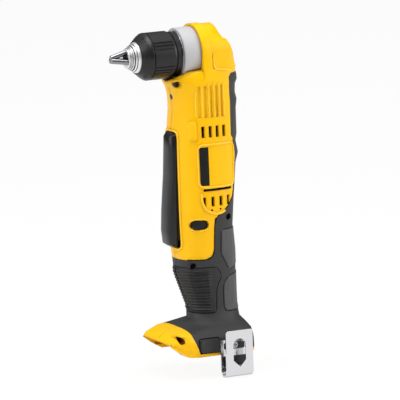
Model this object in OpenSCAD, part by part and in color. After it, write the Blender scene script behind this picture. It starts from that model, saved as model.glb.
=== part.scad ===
// Cordless right angle drill, shown without its battery.
// +X points out of the chuck, +Y to the tool's left, +Z up along the barrel.
// The origin is on the drive's middle plane, level with the bottom of the foot.

/* [Overall] */
// Height of the foot that takes the battery
foot_h = 24; // [22:1:30]
// Length of the narrow grip
grip_len = 60; // [55:1:75]
// Length of the motor barrel
barrel_len = 152; // [150:1:175]
// Height of the chuck axis above the barrel
head_rise = 29; // [28:0.5:33]
// Forward place of the motor's axis
drive_x = 3; // [2:0.25:4]

/* [Casing] */
// Forward reach of the barrel
body_front = 32.5; // [31.5:0.5:36]
// Backward reach of the barrel
body_back = 25; // [24.5:0.5:30]
// Half width of the barrel
body_half_w = 29; // [27.5:0.5:34]
// Forward reach of the grip
grip_front = 20; // [18:0.5:24]
// Backward reach of the grip
grip_back = 23.5; // [21:0.5:26]
// Half width of the grip
grip_half_w = 19.3; // [18:0.5:23]
// Forward reach of the foot
foot_front = 54; // [52:0.5:60]
// Backward reach of the foot
foot_back = 28.5; // [28:0.5:34]
// Half width of the foot
foot_half_w = 35.5; // [35:0.5:40]
// Forward reach of the chin below the chuck
chin_x = 36.5; // [35:0.5:40]
// Radius of the rounded head
head_r = 25.3; // [24.6:0.1:28]
// Forward reach of the head behind the collar
head_front = 10.4; // [9:0.2:11]
// Thickness of the moulded shell
wall = 3; // [2.5:0.1:3.4]
// Thickness of the soft grip skin
skin = 2; // [1.5:0.1:2.4]
// Half of the parting line between the shells
seam = 0.05; // [0.02:0.01:0.1]
// Clearance round pieces seated in the shells
seat_gap = 0.15; // [0.1:0.01:0.25]
// Radial clearance of turning shafts
run_gap = 0.05; // [0.02:0.01:0.09]
// Clearance of pieces held tight in one another
fit_gap = 0.02; // [0.01:0.01:0.03]
// Air between pieces that must not touch
air = 0.5; // [0.4:0.05:0.8]

/* [Battery slot] */
// Half width of the slot above the rails
slot_half_w = 28.5; // [27:0.5:29]
// Half width between the rails
rail_half_gap = 24.5; // [23:0.5:26]
// Height of each rail
rail_h = 3.5; // [3:0.5:4]
// Height of the slot
slot_h = 12; // [11.5:0.25:12.5]
// Thickness of the wall behind the slot
slot_wall = 2.5; // [2:0.25:4]

/* [Chuck] */
// Radius of the silver collar
collar_r = 22.8; // [22.7:0.1:23.4]
// Length of the collar that shows
collar_len = 15.4; // [14:0.2:17]
// Radius of the turning sleeve
sleeve_r = 21; // [20.5:0.1:21.6]
// Length of the sleeve
sleeve_len = 32.4; // [31:0.2:34]
// Radius of the chuck's body inside the sleeve
chuck_r = 15.4; // [15:0.1:16]
// Radius of the nose at its front edge
nose_r = 8.2; // [8:0.1:9]
// Length of the silver nose cone
nose_len = 9; // [8:0.2:10]
// Radius of the hole that takes the bit
bit_r = 5.2; // [5:0.05:5.4]
// Radius of each jaw
jaw_r = 2.4; // [2.2:0.05:2.5]
// Length of each jaw
jaw_len = 30; // [28:0.5:31]
// Length of closed jaw in front of the nose
jaw_out = 14.4; // [13:0.2:15]
// Lean of each jaw to the chuck's axis
jaw_lean = 15; // [14:0.25:16]
// Number of grip pads round the sleeve
pad_count = 6; // [5:1:8]

/* [Gears] */
// Teeth of the bevel gear on the spindle
bevel_teeth = 22; // [20:2:26]
// Outer pitch radius of the bevel gear
bevel_r = 16; // [15.5:0.1:16.4]
// Width of the bevel teeth
bevel_face = 6; // [5:0.5:7]
// Module of the planetary teeth
planet_module = 0.8; // [0.76:0.01:0.84]
// Height of the planetary gears
planet_h = 9; // [8:0.5:10]
// Sideways play between planetary teeth
planet_play = 0.16; // [0.12:0.01:0.2]
// Sideways play between bevel teeth
bevel_play = 0.32; // [0.3:0.01:0.4]

/* [Motor] */
// Radius of the motor can
can_r = 17.8; // [17:0.1:18.2]
// Length of the motor can
can_len = 48; // [46:0.5:49]
// Radius of the armature
armature_r = 11.8; // [11:0.1:12]
// Radius of the motor shaft
shaft_r = 1.6; // [1.5:0.05:2]

/* [Controls] */
// Length of the paddle trigger
paddle_len = 101; // [96:1:104]
// Half width of the paddle
paddle_half_w = 11; // [10:0.25:12]
// Forward reach of the paddle at its lower end
paddle_reach = 10; // [9:0.25:11]
// Angle the paddle swings through
paddle_swing = 4.5; // [4:0.1:5]
// Radius of the paddle's pin
paddle_pin_r = 1.5; // [1.3:0.05:1.8]
// Width of the direction button
button_w = 14; // [12:0.5:15]
// Height of the direction button
button_h = 7.4; // [6.5:0.1:8]
// Height of the speed selector
selector_h = 14; // [12:0.5:15]
// Half width of the speed selector
selector_half_w = 6; // [5:0.25:7]
// Travel of the speed selector
selector_travel = 7; // [6:0.25:8]

/* [Hook] */
// Width of the belt hook
hook_w = 26; // [22:0.5:28]
// Thickness of the hook's steel
hook_t = 1.5; // [1.2:0.1:2]
// Gap that takes the belt
hook_gap = 9.4; // [8:0.2:11]
// Height of the hook's outer plate
hook_h = 42; // [38:0.5:46]
// Depth of the hook below the foot
hook_drop = 19; // [17:0.5:21]

/* [Hidden] */
$fn = 48;

// Colours
yellow = [1.0, 0.79, 0.04];
black = [0.16, 0.16, 0.17];
steel = [0.72, 0.73, 0.75];
bronze = [0.70, 0.52, 0.25];
copper = [0.75, 0.43, 0.25];

// Heights of the zones, from the foot up
barrel_z = foot_h + grip_len;
spindle_z = barrel_z + barrel_len + head_rise;
far = 200;
ring_n = 28;
function grip_z(t) = foot_h + grip_len * t;
function zone_z(t) = barrel_z + barrel_len * t;

// Each ring of the casing: height, front, back, half width and squareness
foot_rings = [
    [0, foot_front - 16.5, -foot_back, foot_half_w, 8],
    [foot_h * 0.2, foot_front - 8, -foot_back, foot_half_w, 9],
    [foot_h * 0.45, foot_front, -foot_back, foot_half_w, 9],
    [foot_h * 0.62, foot_front - 2, -foot_back, foot_half_w - 0.5, 8],
    [foot_h * 0.83, foot_front - 10, -foot_back, foot_half_w - 2.5, 6],
    [foot_h, grip_front + 13, -grip_back - 4.5, grip_half_w + 8, 3.4]];
grip_rings = [
    [grip_z(0.07), grip_front + 1, -grip_back - 2, grip_half_w + 1, 2.4],
    [grip_z(0.27), grip_front + 1, -grip_back, grip_half_w, 2.3],
    [grip_z(0.47), grip_front + 5.5, -grip_back, grip_half_w, 2.3],
    [grip_z(0.77), body_front - 0.8, -grip_back, grip_half_w + 1.7, 2.3]];
barrel_rings = [
    [zone_z(0.03), body_front, 3 - body_back, body_half_w - 3, 2.4],
    [zone_z(0.17), body_front + 0.5, 5.2 - body_back, body_half_w - 1, 2.45],
    [zone_z(0.30), body_front + 0.5, 4 - body_back, body_half_w + 0.3, 2.5],
    [zone_z(0.50), body_front + 0.5, 1 - body_back, body_half_w + 0.5, 2.5],
    [zone_z(0.54), body_front + 0.5, 0.5 - body_back, body_half_w + 0.5, 2.5],
    [zone_z(0.60), body_front + 0.5, -2.3 - body_back, body_half_w + 0.5, 2.5],
    [zone_z(0.67), body_front + 0.5, -0.5 - body_back, body_half_w + 0.3, 2.45],
    [zone_z(0.71), body_front + 0.5, -2 - body_back, body_half_w, 2.4],
    [zone_z(0.86), body_front - 2, -2 - body_back, body_half_w - 0.2, 2.4],
    [zone_z(0.91), body_front - 2, -3.2 - body_back, body_half_w - 0.4, 2.4],
    [zone_z(0.95), body_front - 1.5, -1.6 - body_back, body_half_w - 0.5, 2.4]];
top_rings = [
    [spindle_z - 29, chin_x - 3.5, -2.2 - body_back, body_half_w - 0.7, 2.4],
    [spindle_z - 25, chin_x - 1, -4.4 - body_back, body_half_w - 0.8, 2.4],
    [spindle_z - 21, chin_x, -4.2 - body_back, body_half_w - 1.2, 2.4],
    [spindle_z - 18, chin_x - 3.5, -3.2 - body_back, body_half_w - 2, 2.5],
    [spindle_z - 14.5, chin_x - 7.5, -2.8 - body_back, head_r + 1.2, 2.6],
    [spindle_z - 13, head_front + 3, -2.6 - body_back, head_r + 1, 2.6],
    [spindle_z - 7, head_front - 1, 0.6 - body_back, head_r - 0.4, 3]];
body_rings = concat(foot_rings, grip_rings, barrel_rings, top_rings);
// Rounded plan of the head, from below its shoulder to above its top
head_low_w = body_half_w - 0.8;
head_plan_rings = [for (z = [spindle_z - head_rise - 1, spindle_z + head_r + 5])
    [z, head_front + 26, -2 - body_back, body_half_w, 2.4]];

// The same rings drawn in by a skin, and by the walls of the hollow inside
function drawn_in(rings, front, back, side) =
    [for (r = rings) [r[0], r[1] - front, r[2] + back, r[3] - side, r[4]]];
core_rings = drawn_in(concat(foot_rings, grip_rings, barrel_rings, [for (k = [0 : 4]) top_rings[k]]),
    skin, skin, skin);
grip_wall = wall + skin;
hollow_foot = [slot_h + wall, grip_front + 4, -grip_back, grip_half_w, 2.6];
hollow_rings = concat(
    drawn_in(concat([hollow_foot], grip_rings), grip_wall, grip_wall, grip_wall),
    drawn_in(barrel_rings, wall, grip_wall, wall),
    [[spindle_z - 20, drive_x + 22, -body_back + wall, body_half_w - grip_wall, 2.4]]);

// Gear sizes
pinion_teeth = bevel_teeth / 2;
pinion_r = bevel_r / 2;
cone_out = norm([bevel_r, pinion_r]);
cone_in = cone_out - bevel_face;
gear_cone = atan2(bevel_r, pinion_r);
pinion_cone = 90 - gear_cone;
bevel_module = 2 * bevel_r / bevel_teeth;
bevel_add = 0.72 * bevel_module;
bevel_ded = 1.0 * bevel_module;
pressure = 20;
sun_teeth = 12;
planet_teeth = 15;
ring_teeth = sun_teeth + 2 * planet_teeth;
planet_add = 0.8 * planet_module;
planet_ded = 1.12 * planet_module;
planet_at = planet_module * (sun_teeth + planet_teeth) / 2;
planet_pin_r = 2;
ring_root_r = planet_module * ring_teeth / 2 + planet_ded;
ring_r = ring_root_r + 2.8;
carrier_r = planet_at + planet_pin_r + 0.7;

// Places along the chuck
collar_x = head_front + collar_len;
case_back_x = -5;
gear_back_x = drive_x + pinion_r + 4.4;
gear_room_x = gear_back_x + air;
gear_hub_r = 7;
spindle_r = 8;
spindle_tail_r = 4.5;
spindle_tail_x = -12.5;
front_bush_r = 11;
rear_bush_r = 6.5;
case_r = collar_r - 0.2;
rear_boss_r = 8;
rear_boss_x = -15;
ring_x = collar_x + 1;
sleeve_x = collar_x + 5.9;
sleeve_end_x = sleeve_x + sleeve_len;
nose_x = sleeve_end_x + nose_len;
tip_x = nose_x + jaw_out;
jaw_tip_r = 1.4;
jaw_travel = (bit_r - 0.15) / sin(jaw_lean);
jaw_split = 0.15;
bore_x = sleeve_x + 5;
screw_head_r = 4.2;
screw_head_h = 3;
bit_floor_x = bore_x + screw_head_h + 0.2;
// The hole widens where the closed jaws come inside its wall
bit_step_x = tip_x - (bit_r + jaw_r / cos(jaw_lean) - jaw_tip_r) / tan(jaw_lean);
throat_r = bit_r + 0.5;
chuck_screw_r = 2.4;
chuck_thread_r = 4.8;
tail_r = 12;
nut_x = sleeve_x + 15.5;
nut_len = 6;
nut_groove_r = 13.5;
nut_hole_r = 15.1;
sleeve_hole_r = 18.6;
sleeve_lip = 3;
sleeve_front_r = 14.2;

// Places of the controls
paddle_low_z = zone_z(0.075);
paddle_top_z = paddle_low_z + paddle_len;
pivot_z = paddle_top_z - 6;
pivot_x = body_front - 5;
plunger_z = paddle_low_z + 4.5;
plunger_r = 3;
paddle_back_x = body_front - 1.5;
plunger_tip_x = paddle_back_x - 0.4;
switch_x = plunger_tip_x - 10.5;
switch_len = 26;
switch_half_w = 11;
switch_low_z = plunger_z - 17;
switch_top_z = plunger_z + 8;
plunger_back_x = switch_x - 2;
plunger_room = (pivot_z - plunger_z) * tan(paddle_swing) + 1.5;
button_x = body_front - 13.2;
button_z = switch_top_z + 4.1 + button_h / 2;
button_reach = body_half_w - 2.6;
bar_half_w = 4;
bar_half_h = 3;
selector_z = zone_z(0.715);
selector_x = -body_back - 3.6;
neck_half_w = 3;
paddle_rings = [
    [paddle_low_z, body_front + 5.5, paddle_back_x + 1, paddle_half_w - 3, 3],
    [paddle_low_z + 2.5, body_front + paddle_reach - 1, paddle_back_x, paddle_half_w - 0.8, 3],
    [paddle_low_z + 14, body_front + paddle_reach, paddle_back_x, paddle_half_w, 3],
    [paddle_low_z + 32, body_front + paddle_reach - 1.1, paddle_back_x, paddle_half_w, 3],
    [paddle_top_z - 38, body_front + 5.6, paddle_back_x, paddle_half_w, 3],
    [paddle_top_z - 14, body_front + 5.2, pivot_x - 4, paddle_half_w - 0.4, 3],
    [paddle_top_z - 4, body_front + 5, pivot_x - 4, paddle_half_w - 1.4, 3],
    [paddle_top_z, body_front + 2.5, pivot_x - 3, paddle_half_w - 3, 3]];
// Front view of the gap round the paddle, deeper below because the lower end dips as it swings in
paddle_gap = concat(
    [[paddle_half_w - 2, paddle_low_z - 1.6], [paddle_half_w - 0.6 + air, paddle_low_z]],
    [for (k = [2 : len(paddle_rings) - 1]) [paddle_rings[k][3] + air, paddle_rings[k][0]]],
    [[paddle_half_w - 3, paddle_top_z + air]]);

// Heights of the drive, from the head down
pinion_z = spindle_z - bevel_r;
pinion_back_z = pinion_z - 4;
bush_top_z = pinion_back_z - air;
bush_low_z = bush_top_z - 14;
case_low_z = bush_low_z - 4;
carrier_top_z = case_low_z - 4;
carrier_low_z = carrier_top_z - 3;
planet_top_z = carrier_low_z - air;
planet_low_z = planet_top_z - planet_h;
ring_low_z = planet_low_z - 3;
plate_t = 2.5;
fan_h = 7.5;
fan_z = ring_low_z - plate_t - 1.5 - fan_h;
can_top_z = fan_z - 1.5;
bell_h = 14;
bush_drop = 3;
// The motor is shorter where the button below leaves too little room
bell_low_z = max(can_top_z - can_len - bell_h, button_z + button_h / 2 + bush_drop + air);
can_low_z = bell_low_z + bell_h;
cap_t = 1.5;
bush_r = 5;
neck_bush_r = bush_r - 1;
shaft_bush_h = 4;
brush_w = 4;
commutator_r = 4.5;
magnet_r = can_r - 1.2;
drive_shaft_r = 4;
pinion_bush_r = 9;
neck_r = 19.5;
neck_top_z = spindle_z - 7;
pinion_room_r = pinion_r + 1.6;

// Screws that hold the shells together: forward place, height and depth of the head
screw_r = 1.5;
screw_cap_r = 2.8;
boss_r = 3.7;
screw_places = [
    [chin_x - 5.2, spindle_z - 25, 13],
    [body_front - 8.3, barrel_z - 5.6, 14],
    [-8.5, zone_z(0.24), 21],
    [foot_front - 10, slot_h + boss_r + 0.2, 20]];

// Foot details
hood_x = 27;
strip_h = 3;
rear_strip_h = foot_h * 0.75;
rear_strip_x = slot_wall - foot_back - 0.5;
slot_back = foot_back - slot_wall;
hook_x = -4.5;
pad_x = hook_x + hook_w / 2 + air;
pad_out = 1;
pad_corner = 3;
hook_in_y = foot_half_w + 0.1;
hook_out_y = hook_in_y + hook_t + hook_gap;
hook_bend_r = (hook_out_y + hook_t - hook_in_y) / 2;
hook_leg_z = foot_h * 0.55;
hook_corner = 3;
hook_screw_z = foot_h * 0.35;
insert_r = 3;
insert_hole_r = 1.65;
insert_len = 5;
lead_r = 1.1;
lead_y = 5;
block_half_w = 20;
block_x = -12;
block_len = 28;
block_h = 5.5;
blade_count = 5;
blade_t = 0.8;
led_z = zone_z(0.945);
led_r = 2.5;
// Side features of the barrel
vent_w = 2.8;
vent_reach = 12;
// Each row of vents: height of its lower end, first place, pitch and height
vent_rows = [[zone_z(0.715), -5.5, 6.5, 10], [zone_z(0.314), -8.1, 7.8, 8.4]];
long_slot_z = zone_z(0.41);
relief = 0.9;
panel_x = [-15.5, 18.8];
panel_z = [zone_z(0.424), zone_z(0.677)];
boss_x = [19.4, 25.5];
boss_z = [zone_z(0.7), zone_z(0.814)];
groove_x = -4.4;
groove_pitch = 5.2;
groove_count = 5;
groove_r = 1.4;
groove_z = [zone_z(0.832), spindle_z - 27];
recess_x = 2;
recess_low = 13;
strip_x = 14.5;
name_strip_w = 8;
name_strip_len = 34;
name_strip_z = zone_z(0.55);
strip_depth = 0.8;
// Forward edge of the soft grip in side view, and of the soft pad behind the head
grip_edge_x = 6.4;
back_pad_x = -13.5;
thin_pad_x = -16;

// A closed solid through a stack of rounded rings
function spow(v, e) = sign(v) * pow(abs(v), e);
function ring_points(r) = [for (k = [0 : ring_n - 1])
    [(r[1] + r[2]) / 2 + (r[1] - r[2]) / 2 * spow(cos(360 * k / ring_n), 2 / r[4]),
     r[3] * spow(sin(360 * k / ring_n), 2 / r[4]),
     r[0]]];
module loft(rings) {
    count = len(rings);
    points = [for (r = rings) each ring_points(r)];
    sides = [for (j = [0 : count - 2], k = [0 : ring_n - 1], half = [0, 1])
        let (a = j * ring_n + k, b = j * ring_n + (k + 1) % ring_n)
        half == 0 ? [a, a + ring_n, b + ring_n] : [a, b + ring_n, b]];
    low = [for (k = [0 : ring_n - 1]) k];
    high = [for (k = [ring_n - 1 : -1 : 0]) (count - 1) * ring_n + k];
    polyhedron(points, concat(sides, [low, high]));
}

// A rod along X, and a rod along Y, both from a lower place to a higher one
module rod_x(x0, x1, r, z = spindle_z) {
    translate([x0, 0, z]) rotate([0, 90, 0]) cylinder(r = r, h = x1 - x0);
}
module rod_y(x, z, y0, y1, r) {
    translate([x, y0, z]) rotate([-90, 0, 0]) cylinder(r = r, h = y1 - y0);
}
module rod_z(z0, z1, r) {
    translate([drive_x, 0, z0]) cylinder(r = r, h = z1 - z0);
}
module tube_z(z0, z1, r, hole) {
    difference() {
        rod_z(z0, z1, r);
        rod_z(z0 - 1, z1 + 1, hole);
    }
}
module box(x0, x1, y0, y1, z0, z1) {
    translate([x0, y0, z0]) cube([x1 - x0, y1 - y0, z1 - z0]);
}
// A side view outline made as thick as asked, about the middle plane
module slab(points, half) {
    rotate([90, 0, 0]) translate([0, 0, -half]) linear_extrude(2 * half) polygon(points);
}
// The half of a casing piece on one side of the parting line
module half(side) {
    intersection() {
        children();
        translate([0, side > 0 ? seam : -far, 0]) box(-far, far, 0, far - seam, -far, 2 * far);
    }
}
// A bar with round ends along X, standing through the sides
module oval_y(x, z, w, h, y0, y1) {
    for (s = [-1, 1]) rod_y(x + s * (w - h) / 2, z, y0, y1, h / 2);
    box(x - (w - h) / 2, x + (w - h) / 2, y0, y1, z - h / 2, z + h / 2);
}

// Involute teeth: root, pitch and tip points on both flanks
function involute(r, base) = r <= base ? 0 : tan(acos(base / r)) * 180 / PI - acos(base / r);
function tooth_half(r, rp, n, play) =
    90 / n - play / 2 / rp * 180 / PI
    + involute(rp, rp * cos(pressure)) - involute(r, rp * cos(pressure));
function gear_points(n, add, ded, play) =
    let (rp = n * planet_module / 2, radii = [rp - ded, rp, rp + add])
    [for (k = [0 : n - 1], i = [0 : 5])
        let (
            r = radii[i < 3 ? i : 5 - i],
            h = tooth_half(r, rp, n, play),
            a = 360 * k / n + (i < 3 ? -h : h))
        r * [cos(a), sin(a)]];

// One straight bevel tooth about +Z, narrowing to the apex at the origin
module bevel_tooth(teeth, cone, turn) {
    root = cone - atan(bevel_ded / cone_out);
    tip = cone + atan(bevel_add / cone_out);
    half = PI * bevel_module / 4 - bevel_play / 2;
    flanks = [[root, half + bevel_ded * tan(pressure)], [tip, half - bevel_add * tan(pressure)]];
    points = [for (rho = [cone_in, cone_out], f = flanks, s = [-1, 1])
        let (a = turn + s * f[1] / (cone_out * sin(f[0])) * 180 / PI)
        rho * [sin(f[0]) * cos(a), sin(f[0]) * sin(a), cos(f[0])]];
    polyhedron(points, [
        [0, 2, 3, 1], [4, 5, 7, 6], [0, 1, 5, 4], [2, 6, 7, 3], [0, 4, 6, 2], [1, 3, 7, 5]]);
}
// A bevel wheel about +Z: cone, teeth and hub behind the teeth
module bevel_wheel(teeth, cone, phase, hub_r, hub_end) {
    root = cone - atan(bevel_ded / cone_out) + 0.6;
    z0 = cone_in * cos(root);
    z1 = cone_out * cos(root);
    translate([0, 0, z0]) cylinder(r1 = cone_in * sin(root), r2 = cone_out * sin(root), h = z1 - z0);
    translate([0, 0, z1]) cylinder(r = hub_r, h = hub_end - z1);
    for (k = [0 : teeth - 1]) bevel_tooth(teeth, cone, 360 * (k + phase) / teeth);
}

// Casing
head_outline = [
    [head_front, spindle_z - head_rise], [head_front, spindle_z + far], [-7, spindle_z + far],
    [-9, spindle_z + 18], [-11, spindle_z + 13.5], [-14.5, spindle_z + 11.8], [-19, spindle_z + 3.3],
    [-24.5, spindle_z - 7], [-2 - body_back, spindle_z - 15], [-2 - body_back, spindle_z - head_rise]];
module head_solid() {
    intersection() {
        translate([-far / 2, 0, spindle_z]) rotate([90, 0, 90]) linear_extrude(far) {
            circle(head_r);
            polygon([[-head_r, 0], [-head_low_w, -head_rise], [head_low_w, -head_rise], [head_r, 0]]);
        }
        slab(head_outline, 2 * head_r);
        loft(head_plan_rings);
    }
}
// How far the side of a ring stands from the middle plane, at a forward place
function side_y(x, r) =
    r[3] * pow(1 - pow(abs(2 * x - r[1] - r[2]) / (r[1] - r[2]), r[4]), 1 / r[4]);
// Panel and boss that stand proud of both sides of the barrel
module side_relief() {
    intersection() {
        loft(drawn_in(barrel_rings, 0, 0, -relief));
        union() {
            box(panel_x[0], panel_x[1], -far, far, panel_z[0], panel_z[1]);
            box(boss_x[0], boss_x[1], -far, far, boss_z[0], boss_z[1]);
        }
    }
}
// Upright grooves that leave ribs between them
module rib_grooves() {
    for (k = [0 : groove_count - 1], s = [-1, 1]) {
        x = groove_x + k * groove_pitch;
        translate([x, s * (side_y(x, top_rings[0]) + groove_r - relief), groove_z[0]])
            cylinder(r = groove_r, h = groove_z[1] - groove_z[0], $fn = 16);
    }
}
// Shallow step round the head behind its front band
module head_recess() {
    translate([recess_x - far, 0, spindle_z]) rotate([90, 0, 90]) linear_extrude(far) difference() {
        translate([-far, -recess_low]) square(2 * far);
        circle(head_r - relief);
        polygon([
            [-head_r + relief, 0], [-head_low_w + relief, -head_rise],
            [head_low_w - relief, -head_rise], [head_r - relief, 0]]);
    }
}
module outer_solid() {
    loft(body_rings);
    head_solid();
    side_relief();
}
grip_outline = [
    [hood_x, strip_h], [hood_x + 3.5, foot_h * 0.45], [hood_x + 6.5, foot_h * 0.75],
    [hood_x + 7.5, foot_h], [far, foot_h], [far, barrel_z], [grip_edge_x + 9, barrel_z],
    [grip_edge_x + 2.5, barrel_z + 2.5], [grip_edge_x, barrel_z + 9], [grip_edge_x, zone_z(0.24)],
    [2, zone_z(0.255)], [-6, zone_z(0.29)], [-11, zone_z(0.335)], [thin_pad_x, zone_z(0.37)],
    [thin_pad_x, zone_z(0.69)], [back_pad_x, zone_z(0.715)], [back_pad_x, spindle_z - 21],
    [back_pad_x - 2.5, spindle_z - 18], [-far, spindle_z - 18], [-far, rear_strip_h],
    [rear_strip_x, rear_strip_h], [rear_strip_x, strip_h]];
module battery_slot() {
    box(-slot_back, far, -slot_half_w, slot_half_w, rail_h, slot_h);
    box(-slot_back, far, -rail_half_gap, rail_half_gap, -1, slot_h);
}
module ribs() {
    for (z = [can_low_z + 8, can_top_z - 8, ring_low_z + 6, bush_low_z + 6, switch_low_z + 1])
        box(-far, far, -far, far, z - 1.2, z + 1.2);
    for (p = screw_places) rod_y(p[0], p[1], -far, far, boss_r);
    for (s = [-1, 1]) translate([0, s * (paddle_half_w + 3.5), 0])
        box(pivot_x - 3, far, -2.5, 2.5, pivot_z - 3, pivot_z + 3);
}
module vents() {
    for (s = [-1, 1], k = [0 : 3], row = vent_rows)
        translate([row[1] + k * row[2], s * body_half_w, row[0]])
            box(-vent_w / 2, vent_w / 2, -vent_reach, vent_reach, 0, row[3]);
}
module long_slots() {
    for (s = [-1, 1]) translate([0, s * (body_half_w + 8), 0])
        box(-12.5, 15.8, -10, 10, long_slot_z - 1.2, long_slot_z + 1.2);
}
// Room inside the shells for the pieces they hold
module drive_room() {
    rod_x(case_back_x - seat_gap, head_front, case_r + seat_gap);
    rod_x(head_front - 0.01, far, collar_r + seat_gap);
    rod_x(rear_boss_x - seat_gap, head_front, rear_boss_r + seat_gap);
    rod_x(collar_x + 0.2, far, sleeve_r + air + 0.3);
    rod_z(case_low_z, neck_top_z + seat_gap, neck_r + seat_gap);
    rod_z(ring_low_z - plate_t - seat_gap, case_low_z + 1, ring_r + seat_gap);
    rod_z(bell_low_z - seat_gap, ring_low_z, can_r + seat_gap);
    rod_z(bell_low_z - bush_drop - 3, bell_low_z, bush_r + 3);
}
module switch_room() {
    g = seat_gap;
    box(switch_x - switch_len - g, switch_x + g, -switch_half_w - g, switch_half_w + g,
        switch_low_z - g, switch_top_z + g);
    box(switch_x - 14, far, -plunger_r - 2, plunger_r + 2, plunger_z - 5, plunger_z + 5);
}
module button_room() {
    oval_y(button_x, button_z, button_w + 2 * air, button_h + 2 * air, -far, far);
}
module selector_room() {
    box(-far, -14, -neck_half_w - air, neck_half_w + air,
        selector_z + 2, selector_z + selector_h + selector_travel - 2);
}
module screw_holes(side) {
    for (p = screw_places) {
        rod_y(p[0], p[1], -p[2], p[2], screw_r + run_gap);
        if (side > 0) rod_y(p[0], p[1], p[2] - 3, far, screw_cap_r + seat_gap);
    }
}
module lead_room() {
    for (s = [-1, 1]) translate([0, s * lead_y, 0]) box(-6, 4, -2, 2, slot_h - 1, switch_low_z + 1);
}
module paddle_slot() {
    other_side = [for (k = [len(paddle_gap) - 1 : -1 : 0]) [-paddle_gap[k][0], paddle_gap[k][1]]];
    translate([pivot_x - 8, 0, 0]) rotate([90, 0, 90]) linear_extrude(far)
        polygon(concat(paddle_gap, other_side));
}
module shell(side) {
    difference() {
        outer_solid();
        difference() {
            slab(grip_outline, far);
            loft(core_rings);
        }
        difference() {
            loft(hollow_rings);
            ribs();
        }
        battery_slot();
        drive_room();
        switch_room();
        button_room();
        selector_room();
        vents();
        long_slots();
        rib_grooves();
        head_recess();
        paddle_slot();
        lead_room();
        rod_x(drive_x + 20, far, led_r + seat_gap, led_z);
        rod_y(pivot_x, pivot_z, -paddle_half_w - 4.5, paddle_half_w + 4.5, paddle_pin_r + run_gap);
        if (side > 0) {
            rod_y(hook_x, hook_screw_z, slot_half_w - 1, far, screw_r + run_gap);
            name_strip_cut(0.05);
        } else {
            rod_y(hook_x, hook_screw_z, -far, insert_len - foot_half_w + 0.2, insert_r + fit_gap);
        }
        screw_holes(side);
    }
}
module name_strip_cut(grow) {
    intersection() {
        difference() {
            loft(drawn_in(barrel_rings, 0, 0, -relief));
            loft(drawn_in(barrel_rings, 0, 0, strip_depth + grow - relief));
        }
        box(strip_x - name_strip_w / 2 - grow, strip_x + name_strip_w / 2 + grow, 10, far,
            name_strip_z - name_strip_len / 2 - grow, name_strip_z + name_strip_len / 2 + grow);
    }
}
module housing_left() color(yellow) half(1) shell(1);
module housing_right() color(yellow) half(-1) shell(-1);
module name_strip() color(black) name_strip_cut(0);

// Raised pad on the side of the foot, with two round corners
module foot_pad() {
    low = strip_h + 0.5;
    high = foot_h * 0.62;
    box(pad_x, hood_x - pad_corner, -pad_out, pad_out, low, high);
    box(hood_x - pad_corner, hood_x, -pad_out, pad_out, low + pad_corner, high - pad_corner);
    for (z = [low + pad_corner, high - pad_corner])
        rod_y(hood_x - pad_corner, z, -pad_out, pad_out, pad_corner);
}
// The soft grip, one skin on each shell
module grip_skin(side) {
    difference() {
        union() {
            intersection() {
                loft(body_rings);
                slab(grip_outline, far);
            }
            for (s = [-1, 1]) translate([0, s * foot_half_w, 0]) foot_pad();
        }
        loft(drawn_in(core_rings, -seam, -seam, -seam));
        box(-far, -14, -selector_half_w - air, selector_half_w + air,
            selector_z - air, selector_z + selector_h + selector_travel + air);
        if (side > 0) rod_y(hook_x, hook_screw_z, 0, far, screw_r + run_gap);
        if (side < 0) rod_y(hook_x, hook_screw_z, -far, 0, insert_r + fit_gap);
        for (p = screw_places) if (side > 0) rod_y(p[0], p[1], 0, far, screw_cap_r + seat_gap);
    }
}
module grip_left() color(black) half(1) grip_skin(1);
module grip_right() color(black) half(-1) grip_skin(-1);

// Cross for a screwdriver, as deep as asked
module driver_cross(depth) {
    for (a = [0, 90]) rotate([0, a, 0]) cube([3.4, depth, 0.9], center = true);
}
module housing_screws() color(steel) for (p = screw_places) {
    rod_y(p[0], p[1], -p[2] + 1, p[2] - 3, screw_r);
    difference() {
        rod_y(p[0], p[1], p[2] - 3, p[2] - 0.5, screw_cap_r);
        translate([p[0], p[2], p[1]]) driver_cross(3);
    }
}

// Head
module gear_case() color(steel) difference() {
    union() {
        rod_x(case_back_x, head_front, case_r);
        rod_x(head_front, collar_x, collar_r);
        rod_x(rear_boss_x, case_back_x, rear_boss_r);
        rod_z(case_low_z, neck_top_z, neck_r);
    }
    rod_x(case_back_x + wall, gear_room_x, bevel_r + 3);
    rod_x(gear_room_x - 1, far, front_bush_r + fit_gap);
    rod_x(spindle_tail_x - 1, case_back_x + wall + 1, rear_bush_r + fit_gap);
    rod_z(bush_top_z, neck_top_z - 1, pinion_room_r);
    rod_z(bush_low_z, bush_top_z + 1, pinion_bush_r + fit_gap);
    rod_z(case_low_z - 1, bush_low_z + 1, drive_shaft_r + 2);
}
module spindle_bush_front() color(bronze) difference() {
    rod_x(gear_room_x, collar_x, front_bush_r);
    rod_x(gear_room_x - 1, far, spindle_r + run_gap);
}
module spindle_bush_rear() color(bronze) difference() {
    rod_x(spindle_tail_x + 0.5, case_back_x + wall, rear_bush_r);
    rod_x(-far, 0, spindle_tail_r + run_gap);
}
module pinion_bush() color(bronze) tube_z(bush_low_z, bush_top_z, pinion_bush_r, drive_shaft_r + run_gap);
module led_lens() color("white") rod_x(drive_x + 20.5, body_front - 1.6, led_r, led_z);

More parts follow.
